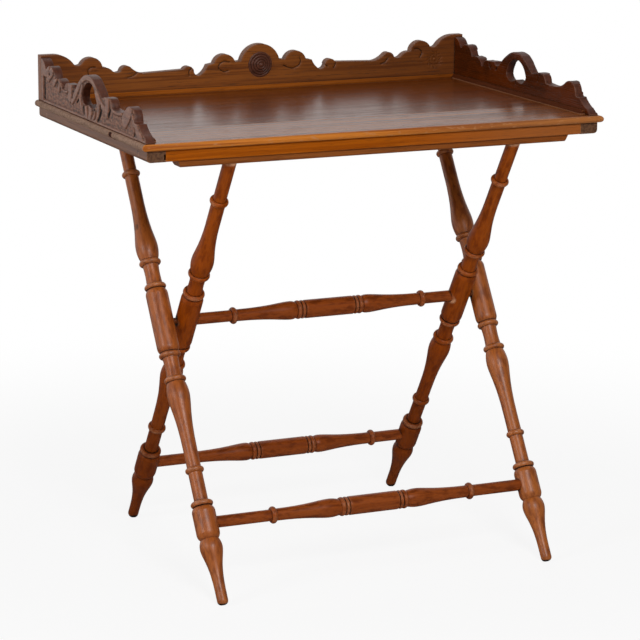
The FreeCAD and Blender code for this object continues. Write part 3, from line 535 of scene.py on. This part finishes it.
FINISHES = {
    leg_outer_wood: ["leg_outer_left", "leg_outer_right"],
    leg_inner_wood: ["leg_inner_left", "leg_inner_right"],
    stretcher_wood: ["stretcher_lower_front", "stretcher_lower_back", "pivot_bar"],
    rail_wood: ["top_rail_front", "top_rail_back"],
    front_board_wood: ["floor_board_front"],
    back_board_wood: ["floor_board_back"],
    apron_wood: ["frame_front", "frame_back", "bearer_back"],
    side_batten_wood: ["frame_left", "frame_right"],
    strip_wood: ["base_strip_back"],
    side_strip_wood: ["base_strip_left", "base_strip_right"],
    roundel_wood: ["roundel"],
    peg_wood: ["frame_pegs", "gallery_pegs"],
    tack_brass: ["strap_tacks_front", "strap_tacks_back"],
    screw_steel: ["gallery_screws", "frame_screws"],
}
for material, names in FINISHES.items():
    for name in names:
        nodes[name].data.materials.clear()
        nodes[name].data.materials.append(material)


def new_piece(name, points, faces, material, body, slot, *replaced):
    """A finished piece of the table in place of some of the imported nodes."""
    mesh = bpy.data.meshes.new(name)
    mesh.from_pydata([tuple(point) for point in points], [], faces)
    mesh.materials.append(material)
    mesh.shade_smooth()
    mesh.update()
    piece = bpy.data.objects.new(name, mesh)
    scene.collection.objects.link(piece)
    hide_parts(*replaced)
    if body:
        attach(piece, body)
    return piece


def smooth_line(points, run=2.0):
    """A smooth line through a few given points, as short straight runs."""
    points = np.array(points, float)
    padded = np.vstack([2 * points[0] - points[1], points, 2 * points[-1] - points[-2]])
    line = [points[0]]
    for before, start, end, after in zip(padded, padded[1:], padded[2:], padded[3:]):
        count = max(2, int(np.linalg.norm(end - start) / run))
        for t in np.arange(1, count + 1) / count:
            line.append(0.5 * (2 * start + (end - before) * t
                               + (2 * before - 5 * start + 4 * end - after) * t ** 2
                               + (3 * start - before - 3 * end + after) * t ** 3))
    return np.array(line)


def distance_to(line, spots):
    """How far each spot is from a line."""
    nearest = np.full(len(spots), 1e9)
    for start, end in zip(line, line[1:]):
        run = end - start
        t = np.clip((spots - start) @ run / (run @ run), 0, 1)
        nearest = np.minimum(nearest, np.linalg.norm(spots - start - t[:, None] * run, axis=1))
    return nearest


def eased(share):
    """A share from 0 to 1, with a soft start and a soft end."""
    return share * share * (3 - 2 * share)


def unevenness(spots, size, seed):
    """Soft random hills, about 1 high, of one size in millimetres."""
    cells = spots / size
    low = np.floor(cells).astype(int)
    low -= low.min(axis=0)
    part = eased(cells - np.floor(cells))
    field = np.random.RandomState(seed).rand(low[:, 0].max() + 2, low[:, 1].max() + 2) * 2 - 1
    i, j = low.T
    left = field[i, j] * (1 - part[:, 1]) + field[i, j + 1] * part[:, 1]
    right = field[i + 1, j] * (1 - part[:, 1]) + field[i + 1, j + 1] * part[:, 1]
    return left * (1 - part[:, 0]) + right * part[:, 0]


# Leaves and bands left standing on the outer face of a side gallery: the line of each, and its half width.
# All carving is drawn in millimetres.
SIDE_LEAVES = (
    ([(34, 43), (46, 51), (54, 60)], 8.0),
    ([(60, 36), (67, 42), (72, 47)], 5.5),
    ([(84, 29), (87, 37), (90, 45)], 4.8),
    ([(90, 42), (98, 34), (111, 30), (125, 31)], 2.4),
    ([(136, 24), (138, 34), (138, 48)], 8.5),
    ([(146, 20), (158, 29), (172, 42), (186, 55), (203, 64), (222, 67), (240, 64), (254, 54), (264, 44),
      (278, 33), (298, 26)], 6.2),
    ([(194, 50), (186, 37), (186, 24), (194, 12), (206, 4)], 4.4),
    ([(256, 48), (265, 34), (268, 21), (265, 10), (258, 3)], 5.8),
    ([(214, 4), (211, 14), (210, 26)], 6.0),
    ([(226, 4), (230, 15), (231, 28)], 7.6),
    ([(205, 4), (200, 10), (195, 17)], 3.6),
    ([(240, 4), (247, 9), (250, 16)], 3.6),
    ([(304, 22), (306, 34), (306, 47)], 8.5),
    ([(330, 29), (350, 28), (368, 30)], 3.2),
    ([(382, 22), (392, 31), (402, 42)], 12.0),
    ([(414, 34), (418, 26), (420, 20)], 4.0),
    ([(426, 24), (435, 13), (450, 3)], 8.5),
)

# Deep cuts between them: the line of each, its half width and its depth
SIDE_CUTS = (
    ([(12.5, 7), (12.5, 22), (12.5, 40)], 2.6, 1.8),
    ([(16, 4.6), (80, 4.4), (150, 4.4), (192, 4.2)], 0.8, 0.8),
    ([(280, 4.4), (340, 4.2), (412, 4.0)], 0.8, 0.7),
    ([(39, 49), (41, 47.5)], 1.9, 2.6),
    ([(75, 40), (76, 35)], 1.6, 2.0),
    ([(277, 30), (275, 21), (270, 12), (263, 4.5)], 2.2, 2.9),
    ([(173, 26), (169, 23), (165, 20.5)], 1.8, 2.6),
    ([(149, 44), (151, 33), (147, 25)], 1.8, 2.2),
    ([(220, 24), (220.5, 18), (221, 10)], 1.6, 1.8),
    ([(246, 27), (246, 21), (241, 13)], 2.2, 2.4),
    ([(198, 19), (198, 13), (203, 7)], 1.7, 1.8),
    ([(316, 29), (313, 24), (310, 18)], 1.9, 2.6),
    ([(424, 14), (421, 9), (418, 4.5)], 2.1, 2.8),
)


class Carving:
    """Relief on a flat face in millimetres: 0 is the uncut face, and the ground is cut below it."""

    LEAF_FALL = 1.5     # how wide the steep sides of a leaf are
    LEAF_ROUND = 0.22   # the share of its height that a leaf loses towards its sides
    # The dark line at a leaf's foot and the dark of the cuts are old wax and painted shade
    FOOT_WIDTH = 1.8    # of the dark line at the foot of a leaf
    FOOT_DARK = 0.45    # how dark that line is, where a full groove is 1
    DARK_DEPTH = 1.8    # a cut of this depth is a full groove
    SKIM = 0.12         # taken off the whole face
    DEEPEST = -4.6

    def __init__(self, spots, ground):
        self.spots = spots
        self.ground = ground
        self.level = np.full(len(spots), ground, float)
        self.groove = np.zeros(len(spots))

    def keep(self, inside, fall):
        """Leaves wood standing where inside is positive, sloping down over a short fall."""
        height = np.clip(inside / fall + 1, 0, 1)
        self.level = np.maximum(self.level, self.ground * (1 - height))

    def leaf(self, points, half):
        """Leaves a band or lobe standing along a line, a little rounded, with steep sides."""
        away = distance_to(smooth_line(points), self.spots)
        side = eased(np.clip((half - away) / self.LEAF_FALL, 0, 1))
        height = side * (1 - self.LEAF_ROUND * (away / half) ** 2)
        foot = np.clip(1 - np.abs(half - 0.3 - away) / self.FOOT_WIDTH, 0, 1) * self.FOOT_DARK
        self.groove = np.where(height > 0.8, 0, np.maximum(self.groove, foot))
        self.level = np.maximum(self.level, self.ground * (1 - height))

    def cut(self, points, half, depth):
        """Cuts a groove along a line."""
        share = np.exp(-(distance_to(smooth_line(points), self.spots) / half) ** 2)
        self.level -= depth * share
        # Painted dark as old wax and painted shade, the deeper the cut the darker
        self.groove = np.maximum(self.groove, share * min(1.0, depth / self.DARK_DEPTH))

    def roughen(self, size, amount, seed):
        """Adds the small hills and dips of work by hand."""
        self.level += amount * unevenness(self.spots, size, seed)

    def finished(self):
        """The level of each spot below the uncut face, and how far it lies in a groove."""
        return np.clip(self.level - self.SKIM, self.DEEPEST, 0.0), self.groove


# The rest of that face: the level of its ground, the borders along the floor and along the back gallery, and
# a plain corner at the top, from how high up and how far forwards
SIDE_GROUND = -2.0
FLOOR_BORDER = 3.2
BACK_BORDER = 9.5
CORNER_FOOT = 42.5
CORNER_REACH = 40


def carve_side_outside(spots):
    """The outer face of a side gallery: an arched band round the hand hole with a fan of leaves at its foot,
    and leaves along the top edge of a sunk, punched ground. Spots are measured forwards from the back gallery
    and up from the floor."""
    along, up = spots.T
    work = Carving(spots, SIDE_GROUND)
    work.roughen(1.9, 0.28, 3)
    work.roughen(4.6, 0.35, 8)
    work.roughen(9.0, 0.2, 4)
    work.keep(FLOOR_BORDER - up, 1.0)
    work.keep(BACK_BORDER - along, 0.6)
    work.keep(np.minimum(up - CORNER_FOOT, CORNER_REACH - along), 1.2)
    for points, half in SIDE_LEAVES:
        work.leaf(points, half)
    for points, half, depth in SIDE_CUTS:
        work.cut(points, half, depth)
    work.roughen(2.3, 0.12, 7)
    return work.finished()


def carve_side_inside(spots):
    """The inner face of a side gallery: plain, with a few cuts at the foot of the leaves."""
    work = Carving(spots, 0.0)
    work.roughen(26.0, 0.12, 5)
    work.cut([(157, 45), (156, 38), (152, 33)], 1.5, 1.6)
    work.cut([(128, 42), (130, 36), (134, 32)], 1.1, 0.9)
    work.cut([(306, 44), (300, 38), (298, 32)], 1.1, 0.9)
    work.cut([(223, 23), (223, 18)], 1.2, 1.2)
    return work.finished()


# Cuts on the back gallery, measured across and up, and the swirl in its right corner: its middle, the number
# of its petals, and how far out and how far round the line of each petal goes
SWIRL = (328, 33)
SWIRL_PETALS = 13
PETAL = ((3.0, 0.0), (8.5, 0.45), (14.0, 1.3))
BACK_HOOKS = (
    [(-288, 50), (-296, 50), (-301, 45), (-300, 38)],
    [(-213, 41), (-219, 35), (-226, 31.5), (-233, 30.5)],
    [(-117, 41), (-124, 36), (-124, 28)],
    [(-52, 47), (-62, 48.5), (-70, 44), (-71, 37), (-62, 31.5), (-54, 33)],
    [(46, 37), (54, 33), (63, 31.5), (73, 35), (77, 42), (75, 49)],
    [(117, 42), (120, 36), (127, 31)],
    [(138, 43), (142, 36), (138, 28)],
    [(226, 30), (234, 33), (240, 40)],
    [(300, 38), (304, 46), (299, 52), (290, 53)],
)


def carve_back(spots):
    """Either face of the back gallery: hooked cuts under the humps and a swirl in the right corner."""
    work = Carving(spots, 0.0)
    work.roughen(30.0, 0.12, 6)
    for hook in BACK_HOOKS:
        work.cut(hook, 0.85, 1.7)
    for turn in np.arange(SWIRL_PETALS) * 2 * np.pi / SWIRL_PETALS:
        petal = [(SWIRL[0] + reach * math.cos(turn + bend), SWIRL[1] + reach * math.sin(turn + bend))
                 for reach, bend in PETAL]
        work.cut(petal, 0.7, 1.0)
    return work.finished()


# A place this near to a level, in metres, is on it, and a turn above this, in radians, is a corner
SAME_LEVEL = 1e-5
SHARP_TURN = 0.3


def face_outlines(node, axis, level):
    """The outlines of a node's flat face at one level of an axis, as loops of places along and up."""
    mesh = nodes[node].data
    places = [tuple(round(value, 6) for value in vertex.co) for vertex in mesh.vertices]
    uses = {}
    for polygon in mesh.polygons:
        corners = [places[index] for index in polygon.vertices]
        if all(abs(corner[axis] - level) < SAME_LEVEL for corner in corners):
            flat = [(corner[1 - axis], corner[2]) for corner in corners]
            for index in range(len(flat)):
                edge = frozenset((flat[index - 1], flat[index]))
                uses[edge] = uses.get(edge, 0) + 1
    beside = {}
    for edge, count in uses.items():
        if count == 1 and len(edge) == 2:
            one, other = edge
            beside.setdefault(one, []).append(other)
            beside.setdefault(other, []).append(one)
    loops = []
    while beside:
        loop = [next(iter(beside))]
        while True:
            ahead = [place for place in beside.pop(loop[-1]) if place in beside]
            if not ahead:
                break
            loop.append(ahead[0])
        loops.append(np.array(loop))
    return sorted(loops, key=lambda loop: -abs(area(loop)))


def area(loop):
    """The area of a loop, positive where it runs anticlockwise."""
    after = np.roll(loop, -1, axis=0)
    return (loop[:, 0] * after[:, 1] - after[:, 0] * loop[:, 1]).sum() / 2


def resampled(loop, step):
    """A loop with its corners kept and the rest divided evenly."""
    before = loop - np.roll(loop, 1, axis=0)
    after = np.roll(loop, -1, axis=0) - loop
    heading = [np.arctan2(run[:, 1], run[:, 0]) for run in (before, after)]
    turn = np.abs(np.angle(np.exp(1j * (heading[1] - heading[0]))))
    corners = np.flatnonzero(turn > SHARP_TURN)
    if len(corners) < 2:
        corners = np.array([0, len(loop) // 2])
    fresh = []
    for start, end in zip(corners, np.append(corners[1:], corners[0] + len(loop))):
        run = loop[np.arange(start, end + 1) % len(loop)]
        lengths = np.append(0, np.cumsum(np.linalg.norm(np.diff(run, axis=0), axis=1)))
        stations = np.linspace(0, lengths[-1], max(1, round(lengths[-1] / step)) + 1)[:-1]
        fresh.append(np.column_stack([np.interp(stations, lengths, run[:, k]) for k in (0, 1)]))
    return np.vstack(fresh)


def into_the_wood(loop):
    """The direction into the wood at each place of a loop that has the wood on its left."""
    ahead = np.roll(loop, -1, axis=0) - np.roll(loop, 1, axis=0)
    ahead /= np.linalg.norm(ahead, axis=1)[:, None]
    return np.column_stack([-ahead[:, 1], ahead[:, 0]])


def within(loops, spots):
    """Which spots lie inside the first loop and outside the others."""
    inside = np.zeros(len(spots), bool)
    for loop in loops:
        for start, end in zip(loop, np.roll(loop, -1, axis=0)):
            crosses = (start[1] > spots[:, 1]) != (end[1] > spots[:, 1])
            if crosses.any():
                reach = (spots[:, 1] - start[1]) * (end[0] - start[0]) / (end[1] - start[1] + 1e-15)
                inside ^= crosses & (spots[:, 0] < start[0] + reach)
    return inside


# The spots on a gallery's face: how far apart they are, every how many of them one is kept where the face is
# flat, the change of level in millimetres from which it isn't flat, and how clear of the rim they stay
FACE_STEP = 1.1 * MM
FLAT_EVERY = 3
FLAT_SLOPE = 0.07
RIM_CLEAR = 0.75 * FACE_STEP

# Its edges: how far their rounding reaches into the faces, how far they waver, as work by hand does, with the
# length of a wave and of a step along it, and the rings from one face to the other: the share of the way, then
# millimetres further and millimetres into the wood
EDGE_INSET = 0.7 * MM
EDGE_WAVER = 0.14 * MM
WAVE = 7.0
WAVE_STEP = 1.3
EDGE_RINGS = ((0, 0.22, 0.22), (0, 0.75, 0.0), (0.35, 0, 0), (0.65, 0, 0), (1, -0.75, 0.0), (1, -0.22, 0.22))

# A hole of less area than this, in square metres, is a peg's, and is seen to this depth
PEG_HOLE = 5e-5
PEG_DEPTH = 3 * MM

# Points nearer to each other than this, in metres, are one
SAME_PLACE = 1e-9


def face_spots(loops, relief):
    """Spots over a face: fine where the relief changes, coarse where it is flat, clear of the outline."""
    rim = np.vstack(loops)
    low, high = rim.min(axis=0), rim.max(axis=0)
    columns, rows = (np.arange(low[k], high[k], FACE_STEP) for k in (0, 1))
    grid = np.stack(np.meshgrid(columns, rows, indexing="ij"), axis=-1)
    level = relief(grid.reshape(-1, 2))[0].reshape(len(columns), len(rows))
    keep = np.hypot(*np.gradient(level)) > FLAT_SLOPE
    keep[::FLAT_EVERY, ::FLAT_EVERY] = True
    spots = grid[keep]
    spots = spots[within(loops, spots)]
    tree = KDTree(len(rim))
    for index, place in enumerate(rim):
        tree.insert((*place, 0), index)
    tree.balance()
    return spots[[tree.find((*spot, 0))[2] > RIM_CLEAR for spot in spots]]


def gallery(name, node, axis, outside, inside, spot_of, relief_outside, relief_inside, woods):
    """A gallery board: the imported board's outline, with carved faces and softly rounded edges. axis is the
    one across the board, with its faces at outside and inside. spot_of turns places on a face into the
    millimetres that the relief is drawn in. woods are those of the outer face, the inner face and the
    edges."""
    inwards = 1 if inside > outside else -1
    anticlockwise = (inwards > 0) == (axis == 1)
    thickness = abs(inside - outside)
    points = []
    faces = []
    depths = []
    grooves = []

    def add(flat, below, depth=0.0, groove=0.0):
        """Adds a point at each place, so far below the uncut outer face, and gives back their numbers."""
        start = len(points)
        for place, down in zip(flat, below):
            spot = [0, 0, place[1]]
            spot[axis] = outside + inwards * down
            spot[1 - axis] = place[0]
            points.append(spot)
        depths.extend(np.broadcast_to(depth, len(flat)))
        grooves.extend(np.broadcast_to(groove, len(flat)))
        return np.arange(start, len(points))

    def carved_face(loops, relief, outer):
        """A face with its relief; it gives back the numbers of the points along each loop of its rim."""
        flat = np.vstack(loops + [face_spots(loops, lambda places: relief(spot_of(places)))])
        starts = list(accumulate((len(loop) for loop in loops), initial=0))
        edges = [(start + index, start + (index + 1) % len(loop))
                 for start, loop in zip(starts, loops) for index in range(len(loop))]
        flat = [Vector(place) for place in flat]
        found, _, triangles, origin, _, _ = delaunay_2d_cdt(flat, edges, [], 0, SAME_PLACE)
        found = np.array([tuple(place) for place in found])
        level, groove = relief(spot_of(found))
        cut = -level * MM
        numbers = add(found, cut if outer else thickness - cut, -level, groove)
        corners = np.array([list(triangle) for triangle in triangles])
        corners = corners[within(loops, found[corners].mean(axis=1))]
        if outer != anticlockwise:
            corners = corners[:, ::-1]
        faces.extend(numbers[corners].tolist())
        now_at = {source: index for index, sources in enumerate(origin) for source in sources}
        return [numbers[[now_at[start + index] for index in range(len(loop))]]
                for start, loop in zip(starts, loops)]

    def band(upper, lower):
        """A strip of faces from one ring of a loop to the next ring down."""
        for here in range(len(upper)):
            there = (here + 1) % len(upper)
            quad = [upper[here], lower[here], lower[there], upper[there]]
            faces.append(quad if anticlockwise else quad[::-1])

    def rounded_edge(loop, outer_rim, inner_rim):
        """The edge of the board along a loop, from rim to rim."""
        inward = into_the_wood(loop)
        top, bottom = (np.abs(np.array([points[number][axis] for number in rim]) - outside)
                       for rim in (outer_rim, inner_rim))
        stations = np.column_stack([np.arange(len(loop)) * WAVE_STEP, np.zeros(len(loop))])
        waver = EDGE_WAVER * (1 + unevenness(stations, WAVE, 9))
        rings = [outer_rim]
        for share, further, back in EDGE_RINGS:
            below = top + (bottom - top) * share + further * MM
            inset = back * MM + waver * (0 < share < 1)
            rings.append(add(loop + inward * inset[:, None], below))
        rings.append(inner_rim)
        for upper, lower in zip(rings, rings[1:]):
            band(upper, lower)

    # The board's outline first and then its holes, each with the wood on its left
    loops = [resampled(loop, FACE_STEP) for loop in face_outlines(node, axis, outside)]
    loops = [loop if (area(loop) > 0) == (index == 0) else loop[::-1] for index, loop in enumerate(loops)]
    through = [loop for loop in loops if abs(area(loop)) > PEG_HOLE]
    pegs = [loop for loop in loops if abs(area(loop)) <= PEG_HOLE]
    inset = [loop + into_the_wood(loop) * EDGE_INSET for loop in through]
    outer_rims = carved_face(inset + pegs, relief_outside, True)
    outer_end = len(faces)
    inner_rims = carved_face(inset, relief_inside, False)
    inner_end = len(faces)
    for loop, outer_rim, inner_rim in zip(through, outer_rims, inner_rims):
        rounded_edge(loop, outer_rim, inner_rim)
    for loop, rim in zip(pegs, outer_rims[len(through):]):
        foot = add(loop, np.full(len(loop), PEG_DEPTH))
        band(rim, foot)
        faces.append((foot[::-1] if anticlockwise else foot).tolist())

    piece = new_piece(name, points, faces, woods[0], "tray", "gallery_wood", node)
    for material in woods[1:]:
        piece.data.materials.append(material)
    wood_of = np.full(len(faces), 2, np.int32)
    wood_of[:inner_end] = 1
    wood_of[:outer_end] = 0
    piece.data.polygons.foreach_set("material_index", wood_of)
    for layer, values in (("carved_depth", depths), ("groove", grooves)):
        kept = piece.data.attributes.new(layer, "FLOAT", "POINT")
        kept.data.foreach_set("value", np.array(values, np.float32))


def side_spots(flat):
    """Millimetres forwards from the back gallery and up from the floor."""
    return np.column_stack([BACK_FACE - flat[:, 0], flat[:, 1] - FLOOR_TOP]) / MM


def back_spots(flat):
    """Millimetres to the right of the middle and up from the floor."""
    return np.column_stack([flat[:, 0], flat[:, 1] - FLOOR_TOP]) / MM


for side, outer, inner in (("left", 0, 1), ("right", 1, 0)):
    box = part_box("gallery_" + side)
    gallery("carved_gallery_" + side, "gallery_" + side, 0, box[outer].x, box[inner].x, side_spots,
            carve_side_outside, carve_side_inside, (carved_wood, shaded_inner_wood, side_edge_wood))
gallery("carved_gallery_back", "gallery_back", 1, BACK_GALLERY[1].y, BACK_GALLERY[0].y, back_spots,
        carve_back, carve_back, (back_gallery_wood, back_gallery_wood, back_edge_wood))

STRAP_SAG = 5 * MM
STRAP_ROW = 1.0 * MM
STRAP_COLUMNS = 28
ROLLED_EDGE = 1.2 * MM
THREAD = 0.1 * MM


def strap(side):
    """A woven strap from rail to rail: thick threads, a rolled edge on both sides and a slight sag between
    the rails."""
    node = "strap_" + side
    low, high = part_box(node)
    middle = (low + high) / 2
    half = (high.x - low.x) / 2
    length = high.y - low.y
    thickness = high.z - low.z
    rows = round(length / STRAP_ROW)
    span = [half * (2 * index / STRAP_COLUMNS - 1) for index in range(STRAP_COLUMNS + 1)]
    section = [(across, 1) for across in span] + [(-across, -1) for across in span]

    def sag(y):
        share = (y - RAIL_FRONT[1].y) / (RAIL_BACK[0].y - RAIL_FRONT[1].y)
        return STRAP_SAG * max(0.0, 4 * share * (1 - share)) ** 1.5

    def height(row, across):
        """From the middle of the strap to its surface: threads that cross, thinner along the rolled edges."""
        rolled = max(0.0, (abs(across) - half + ROLLED_EDGE) / ROLLED_EDGE)
        full = math.sqrt(max(0.0, 1 - rolled ** 2))
        thread = THREAD * math.cos(math.pi * row) * math.cos(STRAP_COLUMNS * math.pi * across / half / 2)
        return thickness * (0.36 + 0.06 * full) * (0.35 + 0.65 * full) + thread * full

    points = []
    for row in range(rows + 1):
        y = low.y + length * row / rows
        points += [(middle.x + across, y, middle.z + face * height(row, across) - sag(y))
                   for across, face in section]
    ring = len(section)
    faces = []
    for start in range(0, rows * ring, ring):
        for here in range(ring):
            there = (here + 1) % ring
            faces.append((start + here, start + there, start + ring + there, start + ring + here))
    faces.append(tuple(reversed(range(ring))))
    faces.append(tuple(range(rows * ring, (rows + 1) * ring)))
    piece = new_piece("webbing_strap_" + side, points, faces, webbing_cloth, None, "webbing", node)
    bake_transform(piece)


strap("left")
strap("right")

BLACK = (0, 0, 0)
WHITE = (255, 255, 255)
PAPER = (0.86, 0.86, 0.86, 1)
FLOOR_HALF = 30

# How much of the table's shadow shows on the floor near it
SHADOW_SHARE = 0.12

# How bright the studio looks in polished wood, where white is 1: the floor in front of the table, what the floor
# behind it and the card at the left add, the room in front, and what the back wall and its left part add
FRONT_FLOOR = 0.05
BACK_FLOOR = 0.1
LEFT_CARD = 0.85
FRONT_ROOM = 0.06
BACK_WALL = 0.66
LEFT_WALL = 0.28

# The light that the room sends to all else
ROOM_LIGHT = 0.16

# The lamps: the place of each, its size, its power and whether it shows in polished wood
LAMPS = {
    "front": ((-0.5, -3.6, 2.9), 1.2, 88, True),
    "left": ((-3.6, -0.9, 1.9), 1.0, 36, True),
    "back": ((1.4, 3.8, 2.2), 1.6, 30, False),
}
LAMPS_AIM = Vector((0, 0, 0.5))

# The camera: its place, its yaw, pitch and roll in degrees, and its lens and sensor in millimetres
CAMERA_PLACE = (-1.86071, -4.10212, 1.38744)
CAMERA_ANGLES = (-24.39, -12.78, 0.38)
CAMERA_LENS = 160.6
CAMERA_SENSOR = 36


def studio_floor():
    """A pale floor that fades to white away from the table. In polished wood it is dark, apart from a white
    card at the left."""
    mesh = bpy.data.meshes.new("studio_floor")
    corners = [(-FLOOR_HALF, -FLOOR_HALF, 0), (FLOOR_HALF, -FLOOR_HALF, 0),
               (FLOOR_HALF, FLOOR_HALF, 0), (-FLOOR_HALF, FLOOR_HALF, 0)]
    mesh.from_pydata(corners, [], [(0, 1, 2, 3)])
    floor = bpy.data.objects.new("studio_floor", mesh)
    scene.collection.objects.link(floor)
    paper = Finish("studio_floor")
    paper.set(Base_Color=PAPER, Roughness=0.9, Specular_IOR_Level=0.0)
    seen = paper.seen()
    mirrored = paper.ray("Glossy")
    behind = paper.along("Y").step(-0.5, 0.6)
    white_card = paper.along("X").step(-0.9, -1.5)
    shine = FRONT_FLOOR + behind * (BACK_FLOOR + LEFT_CARD * white_card)
    glow = paper.mix(seen + mirrored * shine, BLACK, WHITE)
    white = paper.node("ShaderNodeEmission", {}, {"Color": glow, "Strength": 1.0})
    away = paper.node("ShaderNodeVectorMath", {"operation": "LENGTH"}, {0: paper.here()}, output="Value")
    unshaded = 1 - SHADOW_SHARE + SHADOW_SHARE * away.step(0.5, 1.6)
    share = paper.maths("MAXIMUM", seen * unshaded, mirrored)
    lit = Value(paper, paper.shader.outputs["BSDF"])
    shown = paper.node("ShaderNodeMixShader", {}, {0: share, 1: lit, 2: white})
    paper.feed(paper.tree.nodes["Material Output"].inputs["Surface"], shown)
    mesh.materials.append(paper.material)


def studio_room():
    """A white background. In polished wood the room is bright behind the table and dark in front of it."""
    world = bpy.data.worlds.new("studio")
    scene.world = world
    world.use_nodes = True
    room = Nodes(world.node_tree)
    direction = room.node("ShaderNodeTexCoord", {}, {}, output="Generated")
    behind = room.node("ShaderNodeSeparateXYZ", {}, {"Vector": direction}, output="Y").step(-0.1, 0.3)
    to_the_left = room.node("ShaderNodeSeparateXYZ", {}, {"Vector": direction}, output="X").step(0.55, 0.3)
    seen = room.seen()
    mirrored = room.ray("Glossy")
    shine = FRONT_ROOM + behind * (BACK_WALL + LEFT_WALL * to_the_left)
    light = seen + mirrored * shine + (1 - seen - mirrored) * ROOM_LIGHT
    background = world.node_tree.nodes["Background"]
    room.feed(background.inputs["Color"], room.mix(light, BLACK, WHITE))
    background.inputs["Strength"].default_value = 1.0


def lamps():
    for name, (place, size, power, shows) in LAMPS.items():
        lamp = bpy.data.lights.new(name, "AREA")
        lamp.size = size
        lamp.energy = power
        holder = bpy.data.objects.new(name, lamp)
        holder.location = place
        holder.visible_glossy = shows
        holder.rotation_euler = (LAMPS_AIM - Vector(place)).to_track_quat("-Z", "Y").to_euler()
        scene.collection.objects.link(holder)


def camera():
    """The camera at the photograph's angle."""
    yaw, pitch, roll = (math.radians(angle) for angle in CAMERA_ANGLES)
    ahead = Vector((-math.sin(yaw) * math.cos(pitch), math.cos(yaw) * math.cos(pitch), math.sin(pitch)))
    level = Vector((math.cos(yaw), math.sin(yaw), 0))
    upright = level.cross(ahead)
    right = math.cos(roll) * level + math.sin(roll) * upright
    up = math.cos(roll) * upright - math.sin(roll) * level
    lens = bpy.data.cameras.new("camera")
    lens.sensor_width = CAMERA_SENSOR
    lens.lens = CAMERA_LENS
    holder = bpy.data.objects.new("camera", lens)
    holder.matrix_world = Matrix((right, up, -ahead)).transposed().to_4x4()
    holder.location = CAMERA_PLACE
    scene.collection.objects.link(holder)
    scene.camera = holder


studio_floor()
studio_room()
lamps()
camera()
